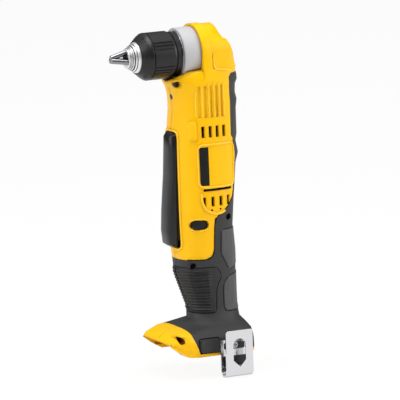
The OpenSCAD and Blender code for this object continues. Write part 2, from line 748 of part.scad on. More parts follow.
// Spindle and chuck, turning together about X
module spindle() color(steel) difference() {
    union() {
        rod_x(spindle_tail_x, drive_x + 2, spindle_tail_r);
        rod_x(drive_x + 1, gear_room_x, gear_hub_r);
        rod_x(gear_room_x, collar_x + 0.2, spindle_r);
        rod_x(collar_x, bore_x, chuck_thread_r);
    }
    rod_x(bore_x - 16, far, chuck_screw_r + fit_gap);
}
module bevel_gear() color(steel) difference() {
    translate([drive_x, 0, spindle_z]) rotate([0, 90, 0])
        bevel_wheel(bevel_teeth, gear_cone, 0.5, bevel_r - 1, gear_back_x - drive_x);
    rod_x(0, far, gear_hub_r + fit_gap);
}
module jaw_place(k) {
    translate([tip_x, 0, spindle_z]) rotate([120 * k, 0, 0]) translate([0, 0, jaw_tip_r])
        rotate([0, jaw_lean, 0]) children();
}
module chuck_body() color(steel) difference() {
    nut_low = nut_x - 0.3;
    nut_high = nut_x + nut_len + 0.3;
    step = sleeve_end_x - 3.3;
    front_r = sleeve_front_r - 0.5;
    translate([0, 0, spindle_z]) rotate([90, 0, 90]) rotate_extrude() polygon([
        [0, ring_x + 0.2], [tail_r, ring_x + 0.2], [tail_r, sleeve_x], [chuck_r, sleeve_x],
        [chuck_r, nut_low], [nut_groove_r, nut_low], [nut_groove_r, nut_high], [chuck_r, nut_high],
        [chuck_r, step], [front_r, step], [front_r, sleeve_end_x], [nose_r, nose_x], [0, nose_x]]);
    rod_x(0, bore_x + 0.01, chuck_thread_r + fit_gap);
    rod_x(bore_x, bit_floor_x + 0.01, screw_head_r + seat_gap);
    rod_x(bit_floor_x, far, bit_r);
    rod_x(bit_step_x, far, throat_r);
    for (k = [0 : 2]) jaw_place(k) rotate([0, -90, 0]) translate([0, 0, -jaw_out])
        cylinder(r = jaw_r + run_gap, h = jaw_out + jaw_len + jaw_travel + 2);
    for (k = [1 : 3]) translate([sleeve_end_x + k * nose_len / 4, 0, spindle_z]) rotate([0, 90, 0])
        difference() {
            cylinder(r = sleeve_r, h = 0.5);
            translate([0, 0, -1])
                cylinder(r = sleeve_front_r - 0.9 - (sleeve_front_r - nose_r) * k / 4, h = 3);
        }
}
module chuck_screw() color(steel) {
    rod_x(bore_x + fit_gap, bore_x + screw_head_h, screw_head_r);
    rod_x(bore_x - 14, bore_x + 0.1, chuck_screw_r);
}
module dust_ring() color(steel) difference() {
    rod_x(collar_x + 0.3, ring_x, sleeve_r - 0.6);
    rod_x(0, far, chuck_thread_r + fit_gap);
}
module chuck_rear_ring() color(black) difference() {
    rod_x(ring_x + 0.1, sleeve_x - 0.3, sleeve_r - 1.2);
    rod_x(0, far, tail_r + fit_gap);
}
module jaw(k) color(steel) intersection() {
    jaw_place(k) rotate([0, -90, 0]) translate([0, 0, -jaw_out])
        cylinder(r = jaw_r, h = jaw_out + jaw_len);
    translate([0, 0, spindle_z]) rotate([120 * k, 0, 0]) rotate([90, 0, 90]) linear_extrude(tip_x) polygon([
        [0, jaw_split], [far * sin(60), jaw_split + far * cos(60)], [0, 2 * far],
        [-far * sin(60), jaw_split + far * cos(60)]]);
}
module jaw_1() jaw(0);
module jaw_2() jaw(1);
module jaw_3() jaw(2);

// Sleeve, which turns on the chuck's body
module chuck_sleeve() color(black) difference() {
    run_r = chuck_r + run_gap;
    step = sleeve_end_x - 2.9;
    translate([0, 0, spindle_z]) rotate([90, 0, 90]) rotate_extrude() polygon([
        [run_r, sleeve_x], [sleeve_r - 1, sleeve_x], [sleeve_r, sleeve_x + 1],
        [sleeve_r, sleeve_end_x - 4.7], [sleeve_front_r + 0.4, sleeve_end_x],
        [sleeve_front_r, sleeve_end_x], [sleeve_front_r, step], [run_r, step], [run_r, step - sleeve_lip], [sleeve_hole_r, step - 1 - sleeve_lip],
        [sleeve_hole_r, sleeve_x + sleeve_lip], [run_r, sleeve_x + sleeve_lip]]);
    for (k = [0 : pad_count - 1], g = [-1 : 1])
        translate([sleeve_x + 4, 0, spindle_z]) rotate([360 * (k + 0.5) / pad_count + g * 7, 0, 0])
            translate([0, -0.6, sleeve_r - 0.8]) cube([sleeve_len - 11, 1.2, 5]);
}
module split_nut() color(steel) difference() {
    rod_x(nut_x, nut_x + nut_len, sleeve_hole_r - fit_gap);
    rod_x(0, far, nut_hole_r);
}

// Drive line, turning about Z
module drive_shaft() color(steel) rod_z(carrier_low_z, pinion_z + 1, drive_shaft_r);
module bevel_pinion() color(steel) difference() {
    translate([drive_x, 0, spindle_z]) rotate([180, 0, 0])
        bevel_wheel(pinion_teeth, pinion_cone, 0, pinion_r - 0.6, spindle_z - pinion_back_z);
    rod_z(pinion_back_z - 1, pinion_z + 1, drive_shaft_r + fit_gap);
}
module planet_carrier() color(steel) {
    tube_z(carrier_low_z, carrier_top_z, carrier_r, drive_shaft_r + fit_gap);
    for (k = [0 : 2]) translate([drive_x, 0, planet_low_z]) rotate([0, 0, 120 * k])
        translate([planet_at, 0, 0]) cylinder(r = planet_pin_r, h = carrier_low_z - planet_low_z + 0.5);
}
module planet(k) color(steel) translate([drive_x, 0, planet_low_z]) rotate([0, 0, 120 * k])
    translate([planet_at, 0, 0]) difference() {
        linear_extrude(planet_h) polygon(gear_points(planet_teeth, planet_add, planet_ded, planet_play));
        translate([0, 0, -1]) cylinder(r = planet_pin_r + run_gap, h = planet_h + 2);
    }
module planet_1() planet(0);
module planet_2() planet(1);
module planet_3() planet(2);
module ring_gear() color(steel) difference() {
    rod_z(ring_low_z, case_low_z, ring_r);
    translate([drive_x, 0, ring_low_z - 1]) linear_extrude(case_low_z - ring_low_z + 2)
        polygon(gear_points(ring_teeth, planet_ded, planet_add, -planet_play));
}
module motor_plate() color(steel)
    tube_z(ring_low_z - plate_t, ring_low_z, ring_r, planet_at - planet_pin_r);

// Motor
module motor_can() color(steel) difference() {
    rod_z(can_low_z, can_top_z, can_r);
    rod_z(can_low_z - 1, can_top_z - cap_t, magnet_r);
    rod_z(can_top_z - 3, can_top_z + 1, neck_bush_r + fit_gap);
}
module motor_bush_upper() color(bronze) difference() {
    union() {
        rod_z(can_top_z - cap_t - shaft_bush_h, can_top_z - cap_t - fit_gap, bush_r);
        rod_z(can_top_z - cap_t - 1, can_top_z, neck_bush_r);
    }
    rod_z(can_low_z, can_top_z + 1, shaft_r + run_gap);
}
module motor_bush_lower() color(bronze)
    tube_z(bell_low_z - bush_drop, bell_low_z + 2, neck_bush_r, shaft_r + run_gap);
module motor_magnets() color([0.25, 0.25, 0.27]) for (a = [0, 180])
    translate([drive_x, 0, 0]) rotate([0, 0, a]) intersection() {
        translate([-drive_x, 0, 0])
            tube_z(can_low_z + 4, can_top_z - 8, magnet_r - fit_gap, armature_r + air);
        box(4, far, -far, far, 0, far * 2);
    }
module end_bell() color(black) difference() {
    rod_z(bell_low_z, can_low_z, can_r);
    rod_z(bell_low_z + 2, can_low_z + 1, can_r - wall);
    rod_z(bell_low_z - 1, can_low_z, neck_bush_r + fit_gap);
}
module brushes() color([0.2, 0.2, 0.2]) intersection() {
    tube_z(bell_low_z + 4, bell_low_z + 9, can_r - wall - fit_gap, commutator_r + run_gap);
    box(-far, far, -brush_w / 2, brush_w / 2, 0, far);
}
module motor_shaft() color(steel) rod_z(bell_low_z - bush_drop, planet_top_z - 0.2, shaft_r);
module armature() color(copper) difference() {
    rod_z(can_low_z + 6, can_top_z - 10, armature_r);
    rod_z(can_low_z, can_top_z, shaft_r + fit_gap);
    for (k = [0 : 6]) translate([drive_x, 0, can_low_z]) rotate([0, 0, 360 * k / 7])
        translate([armature_r - 5, -0.8, 0]) cube([10, 1.6, can_len]);
}
module commutator() color(copper) tube_z(bell_low_z + 3, can_low_z - 1, commutator_r, shaft_r + fit_gap);
module fan() color(black) difference() {
    union() {
        rod_z(fan_z, fan_z + 1.5, can_r - 1.5);
        rod_z(fan_z, fan_z + fan_h, 5);
        for (k = [0 : 10]) translate([drive_x, 0, fan_z]) rotate([0, 0, 360 * k / 11])
            translate([4, -0.6, 0]) cube([can_r - 6, 1.2, fan_h]);
    }
    rod_z(fan_z - 1, fan_z + fan_h + 1, shaft_r + fit_gap);
}
module sun_gear() color(steel) difference() {
    translate([drive_x, 0, planet_low_z - 0.4]) linear_extrude(planet_h + 0.4)
        polygon(gear_points(sun_teeth, planet_add, planet_ded, planet_play));
    rod_z(planet_low_z - 2, planet_top_z + 1, shaft_r + fit_gap);
}

// Controls
module paddle() color(black) difference() {
    union() {
        difference() {
            loft(paddle_rings);
            loft([for (r = paddle_rings) if (r[0] > paddle_low_z && r[0] < pivot_z - 6)
                [r[0], r[1] - 2.4, r[2] - 6, r[3] - 2.2, 3]]);
        }
        box(paddle_back_x, body_front + paddle_reach - 2, -plunger_r - 1, plunger_r + 1,
            plunger_z - 1.5, plunger_z + plunger_r + 1);
    }
    rod_y(pivot_x, pivot_z, -far, far, paddle_pin_r + run_gap);
}
module paddle_pin() color(steel)
    rod_y(pivot_x, pivot_z, -paddle_half_w - 4, paddle_half_w + 4, paddle_pin_r);
module switch_body() color([0.3, 0.1, 0.1]) difference() {
    box(switch_x - switch_len, switch_x, -switch_half_w, switch_half_w, switch_low_z, switch_top_z);
    rod_x(switch_x - 3 - plunger_room, far, plunger_r + run_gap, plunger_z);
}
module switch_plunger() color("white") rod_x(plunger_back_x, plunger_tip_x, plunger_r, plunger_z);
module direction_button() color(black) {
    inner = paddle_half_w + 5;
    oval_y(button_x, button_z, button_w, button_h, inner, button_reach);
    oval_y(button_x, button_z, button_w, button_h, -button_reach, -inner);
    box(button_x - bar_half_w, button_x + bar_half_w, -paddle_half_w - 6, paddle_half_w + 6,
        button_z - bar_half_h, button_z + bar_half_h);
}
module speed_selector() color(black) {
    high = selector_z + selector_h;
    box(selector_x, skin - 2.3 - body_back, -selector_half_w, selector_half_w, selector_z, high);
    box(selector_x + 1, 5.5 - body_back, -neck_half_w, neck_half_w, selector_z + 3, high - 3);
}

// Foot
module terminal_block() color(black) box(block_x, block_x + block_len, -block_half_w, block_half_w,
    slot_h - block_h, slot_h - 0.05);
module terminal_blades() color(copper) for (k = [0 : blade_count - 1])
    translate([block_x, (k - (blade_count - 1) / 2) * 8, 0])
        box(5, block_len - 5, -blade_t / 2, blade_t / 2, rail_h - 0.5, slot_h - block_h);
module battery_leads() color("red") for (s = [-1, 1]) translate([-1, s * lead_y, slot_h])
    cylinder(r = lead_r, h = switch_low_z - slot_h);
module motor_leads() color("red") for (s = [-1, 1]) translate([drive_x + 1, s * 8.5, switch_top_z])
    cylinder(r = lead_r, h = bell_low_z - switch_top_z);
// Strip of the hook, bent round below
module hook_strip() {
    low = hook_bend_r - hook_drop;
    translate([hook_x - hook_w / 2, 0, 0]) rotate([90, 0, 90]) linear_extrude(hook_w) {
        translate([hook_in_y, low]) square([hook_t, hook_leg_z - low]);
        translate([hook_out_y, low]) square([hook_t, hook_h - hook_bend_r - hook_corner]);
        translate([hook_in_y + hook_bend_r, low]) difference() {
            circle(hook_bend_r);
            circle(hook_bend_r - hook_t);
            translate([-far, 0]) square(2 * far);
        }
    }
}
// Upper end of the hook's outer plate, with round corners
module hook_top() {
    half = hook_w / 2 - hook_corner;
    low = hook_h - hook_drop - hook_corner;
    box(hook_x - half, hook_x + half, hook_out_y, hook_out_y + hook_t, low, low + hook_corner);
    for (s = [-1, 1]) rod_y(hook_x + s * half, low, hook_out_y, hook_out_y + hook_t, hook_corner);
}
module belt_hook() color(steel) difference() {
    union() {
        hook_strip();
        hook_top();
    }
    rod_y(hook_x, hook_screw_z, 0, hook_out_y - 1, screw_r + 0.3);
    oval_window();
}
module oval_window() {
    w = hook_w * 0.46;
    low = -hook_drop + hook_h * 0.36;
    high = -hook_drop + hook_h * 0.68;
    rod_y(hook_x, high, hook_out_y - 1, far, w / 2);
    points = [
        [hook_x - w / 2, high], [hook_x - w / 2, low], [hook_x, low - w / 2],
        [hook_x + w / 2, low], [hook_x + w / 2, high]];
    intersection() {
        slab(points, far);
        box(-far, far, hook_out_y - 1, far, -far, far);
    }
}
module hook_screw() color(steel) {
    rod_y(hook_x, hook_screw_z, slot_half_w + 0.5, hook_in_y + hook_t + 0.5, screw_r);
    difference() {
        rod_y(hook_x, hook_screw_z, hook_in_y + hook_t + 0.05, hook_in_y + hook_t + 2, screw_cap_r);
        translate([hook_x, hook_in_y + hook_t + 2, hook_screw_z]) driver_cross(1.6);
    }
}
module accessory_insert() color(bronze) mirror([0, 1, 0]) difference() {
    rod_y(hook_x, hook_screw_z, foot_half_w - insert_len, foot_half_w - 0.3, insert_r);
    rod_y(hook_x, hook_screw_z, 0, far, insert_hole_r);
}

housing_left();
housing_right();
grip_left();
grip_right();
name_strip();
gear_case();
spindle_bush_front();
spindle_bush_rear();
pinion_bush();
ring_gear();
motor_plate();
motor_can();
motor_magnets();
end_bell();
motor_bush_upper();
motor_bush_lower();
brushes();
switch_body();
battery_leads();
motor_leads();
terminal_block();
terminal_blades();
led_lens();
paddle_pin();
housing_screws();
belt_hook();
hook_screw();
accessory_insert();
spindle();
bevel_gear();
chuck_body();
chuck_screw();
dust_ring();
chuck_rear_ring();
chuck_sleeve();
split_nut();
jaw_1();
jaw_2();
jaw_3();
drive_shaft();
bevel_pinion();
planet_carrier();
planet_1();
planet_2();
planet_3();
motor_shaft();
armature();
commutator();
fan();
sun_gear();
paddle();
switch_plunger();
direction_button();
speed_selector();
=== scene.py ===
"""Looks of a cordless right angle drill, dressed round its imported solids."""

import logging
import math
from dataclasses import dataclass, replace
from enum import Enum
from typing import Callable, Iterable, Sequence

import bmesh
import bpy
from mathutils import Matrix, Vector
from mathutils.bvhtree import BVHTree


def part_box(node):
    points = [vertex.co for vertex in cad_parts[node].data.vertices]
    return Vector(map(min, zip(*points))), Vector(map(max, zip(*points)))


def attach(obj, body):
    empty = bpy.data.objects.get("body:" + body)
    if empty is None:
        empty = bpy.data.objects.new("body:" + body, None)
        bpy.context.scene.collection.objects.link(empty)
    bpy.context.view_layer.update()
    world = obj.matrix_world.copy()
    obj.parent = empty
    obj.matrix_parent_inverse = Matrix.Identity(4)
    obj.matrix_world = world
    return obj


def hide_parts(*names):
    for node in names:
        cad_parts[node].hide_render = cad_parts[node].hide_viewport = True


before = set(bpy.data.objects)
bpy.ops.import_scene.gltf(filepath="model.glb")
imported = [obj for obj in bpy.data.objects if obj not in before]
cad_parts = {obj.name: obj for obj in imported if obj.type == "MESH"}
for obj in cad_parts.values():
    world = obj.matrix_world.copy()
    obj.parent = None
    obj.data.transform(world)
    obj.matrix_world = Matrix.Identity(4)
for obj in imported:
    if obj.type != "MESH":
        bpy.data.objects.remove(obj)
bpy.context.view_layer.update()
LOG = logging.getLogger("drill")

# Sizes and places are in millimetres, meshes and their tolerances in metres
MM = 0.001
MERGE_DIST = 2e-6
SLIVER_DIST = 1e-6
FLAT_DEG = 0.4
STEEP_DEG = 35.0
SHELLS = ("housing_left", "housing_right")
GRIPS = ("grip_left", "grip_right")

Flat = tuple[float, float]
Path = Sequence[Flat]
Tree = bpy.types.NodeTree
Socket = bpy.types.NodeSocket
Value = Socket | float
Shape = bmesh.types.BMesh


class Body(str, Enum):
    """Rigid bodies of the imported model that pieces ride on."""

    HOUSING = "housing"
    SPINDLE = "spindle"
    SLEEVE = "sleeve"
    PADDLE = "paddle"
    BUTTON = "direction_button"
    SELECTOR = "speed_selector"
    JAW_1 = "jaw_one"
    JAW_2 = "jaw_two"
    JAW_3 = "jaw_three"


class Slot(str, Enum):
    """Material slots of the record."""

    YELLOW = "yellow_plastic"
    GRIP = "soft_grip"
    BLACK = "black_plastic"
    STEEL = "steel"
    BRIGHT = "bright_steel"
    ALLOY = "satin_alloy"
    BUSH = "bush_bronze"
    COPPER = "copper"
    MAGNET = "magnet"
    LEAD = "lead_red"
    LENS = "clear_lens"
    WHITE = "white_plastic"


def feed(tree: Tree, socket: Socket, value: Value) -> None:
    """Sets an input to a number, or links it.

    Args:
        tree: Tree that holds the input.
        socket: The input.
        value: Number, or the output that feeds the input.
    """
    if isinstance(value, (int, float)):
        socket.default_value = value
    else:
        tree.links.new(value, socket)


def math_node(tree: Tree, operation: str, first: Value, second: Value) -> Socket:
    """Adds a Math node.

    Args:
        tree: Tree that gets the node.
        operation: Blender's name of the operation.
        first: Output or number of the first value.
        second: Output or number of the second value.

    Returns:
        The node's result.
    """
    node = tree.nodes.new("ShaderNodeMath")
    node.operation = operation
    feed(tree, node.inputs[0], first)
    feed(tree, node.inputs[1], second)
    return node.outputs[0]


def noise_node(tree: Tree, vector: Socket, scale: Value, detail: float) -> Socket:
    """Adds a Noise Texture node.

    Args:
        tree: Tree that gets the node.
        vector: Output of the coordinates.
        scale: Output or number of the scale.
        detail: Octaves of the noise.

    Returns:
        The noise from 0 to 1.
    """
    node = tree.nodes.new("ShaderNodeTexNoise")
    node.inputs["Detail"].default_value = detail
    tree.links.new(vector, node.inputs["Vector"])
    feed(tree, node.inputs["Scale"], scale)
    return node.outputs["Fac"]


@dataclass(frozen=True)
class Surface:
    """A shader group that breaks up a surface close to: grain, blotches, painted shade in gaps and soft
    edges.
    """

    name: str
    detail: float
    blotch_scale: float
    blotch_detail: float
    gloss_share: float
    bump_height: float
    lined: bool
    edge_samples: int = 6
    gap_samples: int = 8

    def build(self) -> None:
        """Makes the group, which materials then find by its name."""
        group = bpy.data.node_groups.new(self.name, "ShaderNodeTree")
        numbers = ("Grain scale", "Grain depth", "Roughness", "Tone", "Edge", "Crevice", "Reach")
        inputs = {"Vector": "Vector", "Colour": "Color", **dict.fromkeys(numbers, "Float")}
        outputs = {"Colour": "Color", "Roughness": "Float", "Normal": "Vector"}
        for side, sockets in (("INPUT", inputs), ("OUTPUT", outputs)):
            for label, kind in sockets.items():
                group.interface.new_socket(name=label, in_out=side, socket_type=f"NodeSocket{kind}")
        start = group.nodes.new("NodeGroupInput").outputs
        end = group.nodes.new("NodeGroupOutput").inputs
        grain = noise_node(group, start["Vector"], start["Grain scale"], self.detail)
        blotch = noise_node(group, start["Vector"], self.blotch_scale, self.blotch_detail)
        smear = math_node(group, "SUBTRACT", blotch, 0.5)
        shift = smear
        if self.lined:
            shift = math_node(group, "ADD", math_node(group, "SUBTRACT", grain, 0.5), smear)
        tone = math_node(group, "ADD", math_node(group, "MULTIPLY", shift, start["Tone"]), 1.0)
        # Painted shade: an ambient-occlusion mask darkens the colour in gaps and hollows.
        shade = self._gap_shade(group, start["Crevice"], start["Reach"])
        tint = group.nodes.new("ShaderNodeHueSaturation")
        group.links.new(start["Colour"], tint.inputs["Color"])
        group.links.new(math_node(group, "MULTIPLY", tone, shade), tint.inputs["Value"])
        group.links.new(tint.outputs[0], end["Colour"])
        gloss = math_node(group, "MULTIPLY", smear, self.gloss_share)
        group.links.new(math_node(group, "ADD", start["Roughness"], gloss), end["Roughness"])
        soft = group.nodes.new("ShaderNodeBevel")
        soft.samples = self.edge_samples
        group.links.new(start["Edge"], soft.inputs["Radius"])
        bump = group.nodes.new("ShaderNodeBump")
        bump.inputs["Distance"].default_value = self.bump_height * MM
        group.links.new(soft.outputs["Normal"], bump.inputs["Normal"])
        group.links.new(start["Grain depth"], bump.inputs["Strength"])
        group.links.new(grain, bump.inputs["Height"])
        group.links.new(bump.outputs[0], end["Normal"])

    def _gap_shade(self, group: Tree, amount: Socket, reach: Socket) -> Socket:
        """Adds a mask of painted shade that darkens grooves and gaps.

        Args:
            group: Tree that gets the nodes.
            amount: Output of how much the deepest gaps darken, from 0 to 1.
            reach: Output of how far neighbours darken, in metres.

        Returns:
            A brightness factor from 0 to 1.
        """
        node = group.nodes.new("ShaderNodeAmbientOcclusion")
        node.samples = self.gap_samples
        group.links.new(reach, node.inputs["Distance"])
        hidden = math_node(group, "SUBTRACT", 1.0, node.outputs["AO"])
        return math_node(group, "SUBTRACT", 1.0, math_node(group, "MULTIPLY", hidden, amount))


class Grain(Enum):
    """Spark grain of moulded plastic and rubber, or fine lines and handling marks of machined metal."""

    MOULDED = Surface("moulded_surface", detail=2.0, blotch_scale=38.0, blotch_detail=3.0,
                      gloss_share=0.16, bump_height=0.3, lined=False)
    BRUSHED = Surface("machined_surface", detail=3.0, blotch_scale=22.0, blotch_detail=4.0,
                      gloss_share=0.25, bump_height=0.2, lined=True)


@dataclass(frozen=True)
class Finish:
    """One finish: its colour, gloss and close-up grain."""

    name: str
    slot: Slot
    colour: tuple[float, float, float]
    roughness: float
    metallic: float = 0.0
    grain: Grain = Grain.MOULDED
    grain_scale: float = 900.0
    grain_depth: float = 0.12
    tone: float = 0.06
    stretch: tuple[float, float, float] = (1.0, 1.0, 1.0)
    specular: float = 0.5
    edge: float = 0.3
    # Painted shade: how much gaps and hollows darken the colour, and how far round them.
    crevice: float = 0.8
    reach: float = 2.5

    def material(self) -> bpy.types.Material:
        """Gives the finish's material, made on first use."""
        known = bpy.data.materials.get(self.name)
        return known if known else self._make()

    def _make(self) -> bpy.types.Material:
        """Builds the material's nodes.

        Returns:
            The new material.
        """
        made = bpy.data.materials.new(self.name)
        made.use_nodes = True
        tree = made.node_tree
        shader = tree.nodes["Principled BSDF"].inputs
        shader["Metallic"].default_value = self.metallic
        shader["Specular IOR Level"].default_value = self.specular
        place = tree.nodes.new("ShaderNodeTexCoord")
        mapping = tree.nodes.new("ShaderNodeMapping")
        mapping.inputs["Scale"].default_value = self.stretch
        tree.links.new(place.outputs["Object"], mapping.inputs["Vector"])
        surface = tree.nodes.new("ShaderNodeGroup")
        surface.node_tree = bpy.data.node_groups[self.grain.value.name]
        tree.links.new(mapping.outputs[0], surface.inputs["Vector"])
        values = {"Colour": (*self.colour, 1.0), "Grain scale": self.grain_scale,
                  "Grain depth": self.grain_depth, "Roughness": self.roughness, "Tone": self.tone,
                  "Edge": self.edge * MM, "Crevice": self.crevice, "Reach": self.reach * MM}
        for label, value in values.items():
            surface.inputs[label].default_value = value
        for label, target in (("Colour", "Base Color"), ("Roughness", "Roughness"), ("Normal", "Normal")):
            tree.links.new(surface.outputs[label], shader[target])
        return made


# Painted shade: the yellow darkens in hollows out to 16 mm, such as on the neck under the chuck.
YELLOW = Finish("yellow_shell", Slot.YELLOW, (0.99, 0.53, 0.0), roughness=0.38, grain_depth=0.08, tone=0.05,
                specular=0.18, edge=2.6, crevice=0.5, reach=16.0)
# Partly painted highlight: a paler yellow than the shell for rims, ribs and lips. Its lower roughness is
# real gloss.
RIM_HIGHLIGHT = Finish("glossy_rim_painted_highlight", Slot.YELLOW, (1.0, 0.57, 0.01), roughness=0.24, grain_depth=0.02, tone=0.03,
             edge=0.2, crevice=0.0)
SHADE = Finish("hole_shade", Slot.YELLOW, (0.14, 0.03, 0.0), roughness=0.6, specular=0.1)
GRIP = Finish("soft_grip_rubber", Slot.GRIP, (0.028, 0.028, 0.029), roughness=0.56, grain_scale=1400.0,
              grain_depth=0.22, specular=0.4, edge=0.5, crevice=1.0)
# Painted shade: a darker copy of the grip rubber for the ribbed front panel.
RIBBED_SHADED = Finish("ribbed_grip_painted_shade", Slot.GRIP, (0.013, 0.013, 0.014), roughness=0.5, grain_scale=1400.0,
                specular=0.45, edge=0.1, crevice=1.0)
# Painted light: a lighter copy of the grip rubber for the back panels, which face the side lamp.
REAR_LIT = Finish("rear_grip_painted_light", Slot.GRIP, (0.062, 0.062, 0.063), roughness=0.5, grain_scale=1400.0,
              grain_depth=0.22, specular=0.45, edge=0.4, crevice=1.0)
# Painted shade: near-black lines and dots laid in grooves, in seams, in the long slot and by the vents.
GROOVE_SHADOW = Finish("groove_shadow", Slot.GRIP, (0.004, 0.004, 0.004), roughness=0.8, grain_depth=0.1,
                specular=0.1)
BLACK = Finish("black_shell", Slot.BLACK, (0.009, 0.009, 0.010), roughness=0.32, grain_depth=0.1,
               specular=0.38, crevice=1.0)
STRIP = Finish("black_strip", Slot.BLACK, (0.006, 0.006, 0.006), roughness=0.35, grain_depth=0.03,
               specular=0.25)
STEEL = Finish("machined_steel", Slot.STEEL, (0.50, 0.51, 0.53), roughness=0.35, metallic=1.0,
               grain=Grain.BRUSHED, grain_scale=700.0, grain_depth=0.06)
SCREW = replace(STEEL, name="dark_screw_steel", colour=(0.10, 0.10, 0.105), roughness=0.45)
COPPER = replace(STEEL, name="bare_copper", slot=Slot.COPPER, colour=(0.62, 0.24, 0.10), grain_depth=0.08)
ALLOY = replace(STEEL, name="turned_alloy", slot=Slot.ALLOY, colour=(0.50, 0.50, 0.51), roughness=0.65,
                metallic=0.2, grain_scale=600.0, grain_depth=0.08, stretch=(6.0, 1.0, 1.0))
BRIGHT = replace(STEEL, name="polished_steel", slot=Slot.BRIGHT, colour=(0.80, 0.80, 0.82), roughness=0.20,
                 grain_scale=500.0, grain_depth=0.05)
HOOK = replace(BRIGHT, name="plated_sheet", colour=(0.72, 0.72, 0.74), roughness=0.17, grain_depth=0.03)
# Painted shade: the jaws darken fully in their gaps, out to 7 mm.
JAW = replace(BRIGHT, name="ground_jaw_steel", colour=(0.30, 0.30, 0.31), roughness=0.24, crevice=1.0,
              reach=7.0)
NOSE = replace(BRIGHT, name="turned_nose_steel", colour=(0.84, 0.84, 0.85), roughness=0.34, metallic=0.75)
BUSH = Finish("sintered_bronze", Slot.BUSH, (0.48, 0.28, 0.08), roughness=0.5, metallic=1.0, grain_depth=0.2)
MAGNET = Finish("dull_ferrite", Slot.MAGNET, (0.04, 0.04, 0.042), roughness=0.7, grain_depth=0.3)
LEAD = Finish("red_insulation", Slot.LEAD, (0.45, 0.01, 0.008), roughness=0.45)
LENS = Finish("smoked_lens", Slot.LENS, (0.02, 0.02, 0.021), roughness=0.15, tone=0.01, grain_depth=0.0,
              specular=0.2)
WHITE = Finish("white_shell", Slot.WHITE, (0.72, 0.72, 0.69), roughness=0.45)

NODES_BY_FINISH: dict[Finish, tuple[str, ...]] = {
    YELLOW: SHELLS,
    GRIP: GRIPS,
    BLACK: ("end_bell", "switch_body", "terminal_block", "chuck_rear_ring", "chuck_sleeve", "fan",
            "direction_button", "speed_selector", "paddle"),
    STRIP: ("name_strip",),
    SCREW: ("housing_screws",),
    STEEL: ("ring_gear", "motor_plate", "motor_can", "paddle_pin", "hook_screw", "spindle", "bevel_gear",
            "chuck_screw", "split_nut", "drive_shaft", "bevel_pinion", "planet_carrier", "planet_1",
            "planet_2", "planet_3", "motor_shaft", "sun_gear"),
    BRIGHT: ("dust_ring",),
    HOOK: ("belt_hook",),
    JAW: ("jaw_1", "jaw_2", "jaw_3"),
    NOSE: ("chuck_body",),
    ALLOY: ("gear_case",),
    BUSH: ("spindle_bush_front", "spindle_bush_rear", "pinion_bush", "motor_bush_upper", "motor_bush_lower",
           "accessory_insert"),
    COPPER: ("terminal_blades", "armature", "commutator"),
    MAGNET: ("motor_magnets", "brushes"),
    LEAD: ("battery_leads", "motor_leads"),
    LENS: ("led_lens",),
    WHITE: ("switch_plunger",),
}


class Axis(Enum):
    """Directions that profiles are turned about."""

    X = (1.0, 0.0, 0.0)
    Y = (0.0, 1.0, 0.0)


def corners(node: str) -> tuple[Vector, Vector]:
    """Gives the lowest and highest corners of a CAD node."""
    low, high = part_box(node)
    return Vector(low) / MM, Vector(high) / MM


def rectangle(low_u: float, high_u: float, low_w: float, high_w: float) -> Path:
    """Gives the corners of an upright rectangle."""
    return (low_u, low_w), (high_u, low_w), (high_u, high_w), (low_u, high_w)


def placed(name: str, data: bpy.types.ID) -> bpy.types.Object:
    """Adds an object to the scene.

    Args:
        name: Name of the object.
        data: Its mesh, curve, lamp or camera.

    Returns:
        The new object.
    """
    made = bpy.data.objects.new(name, data)
    bpy.context.scene.collection.objects.link(made)
    return made


def merged(node: str) -> Shape:
    """Copies a CAD node's mesh with its loose triangles joined.

    Args:
        node: Name of the CAD node.

    Returns:
        A new bmesh.
    """
    bm = bmesh.new()
    bm.from_mesh(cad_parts[node].data)
    bmesh.ops.remove_doubles(bm, verts=bm.verts, dist=MERGE_DIST)
    bmesh.ops.dissolve_degenerate(bm, dist=SLIVER_DIST, edges=bm.edges)
    return bm


def round_edges(bm: Shape, edges: list[bmesh.types.BMEdge], offset: float, segments: int,
                clamp: bool = True) -> None:
    """Rounds edges over.

    Args:
        bm: Mesh that holds the edges.
        edges: The edges.
        offset: Width of the rounding.
        segments: Facets across the rounding.
        clamp: Whether short neighbouring edges hold the rounding back.
    """
    bmesh.ops.bevel(bm, geom=edges, offset=offset * MM, offset_type="OFFSET", segments=segments,
                    profile=0.5, affect="EDGES", clamp_overlap=clamp, material=-1)


def rounded(node: str, offset: float, segments: int, steep_deg: float = STEEP_DEG,
            pick: Callable[[Vector], bool] = lambda place: True, clamp: bool = True) -> Shape:
    """Copies a CAD node with its steep edges rounded over.

    Args:
        node: Name of the CAD node.
        offset: Width of the rounding.
        segments: Facets across the rounding.
        steep_deg: Least angle between the faces at a rounded edge.
        pick: Tells from an edge's middle whether it is rounded.
        clamp: Whether short neighbouring edges hold the rounding back.

    Returns:
        A new bmesh.
    """
    bm = merged(node)
    bmesh.ops.dissolve_limit(bm, angle_limit=math.radians(FLAT_DEG), verts=bm.verts, edges=bm.edges)
    steep = math.radians(steep_deg)
    edges = [e for e in bm.edges if len(e.link_faces) == 2 and e.calc_face_angle(0.0) > steep
             and pick((e.verts[0].co + e.verts[1].co) / (2 * MM))]
    round_edges(bm, edges, offset, segments, clamp)
    bmesh.ops.remove_doubles(bm, verts=bm.verts, dist=MERGE_DIST)
    return bm


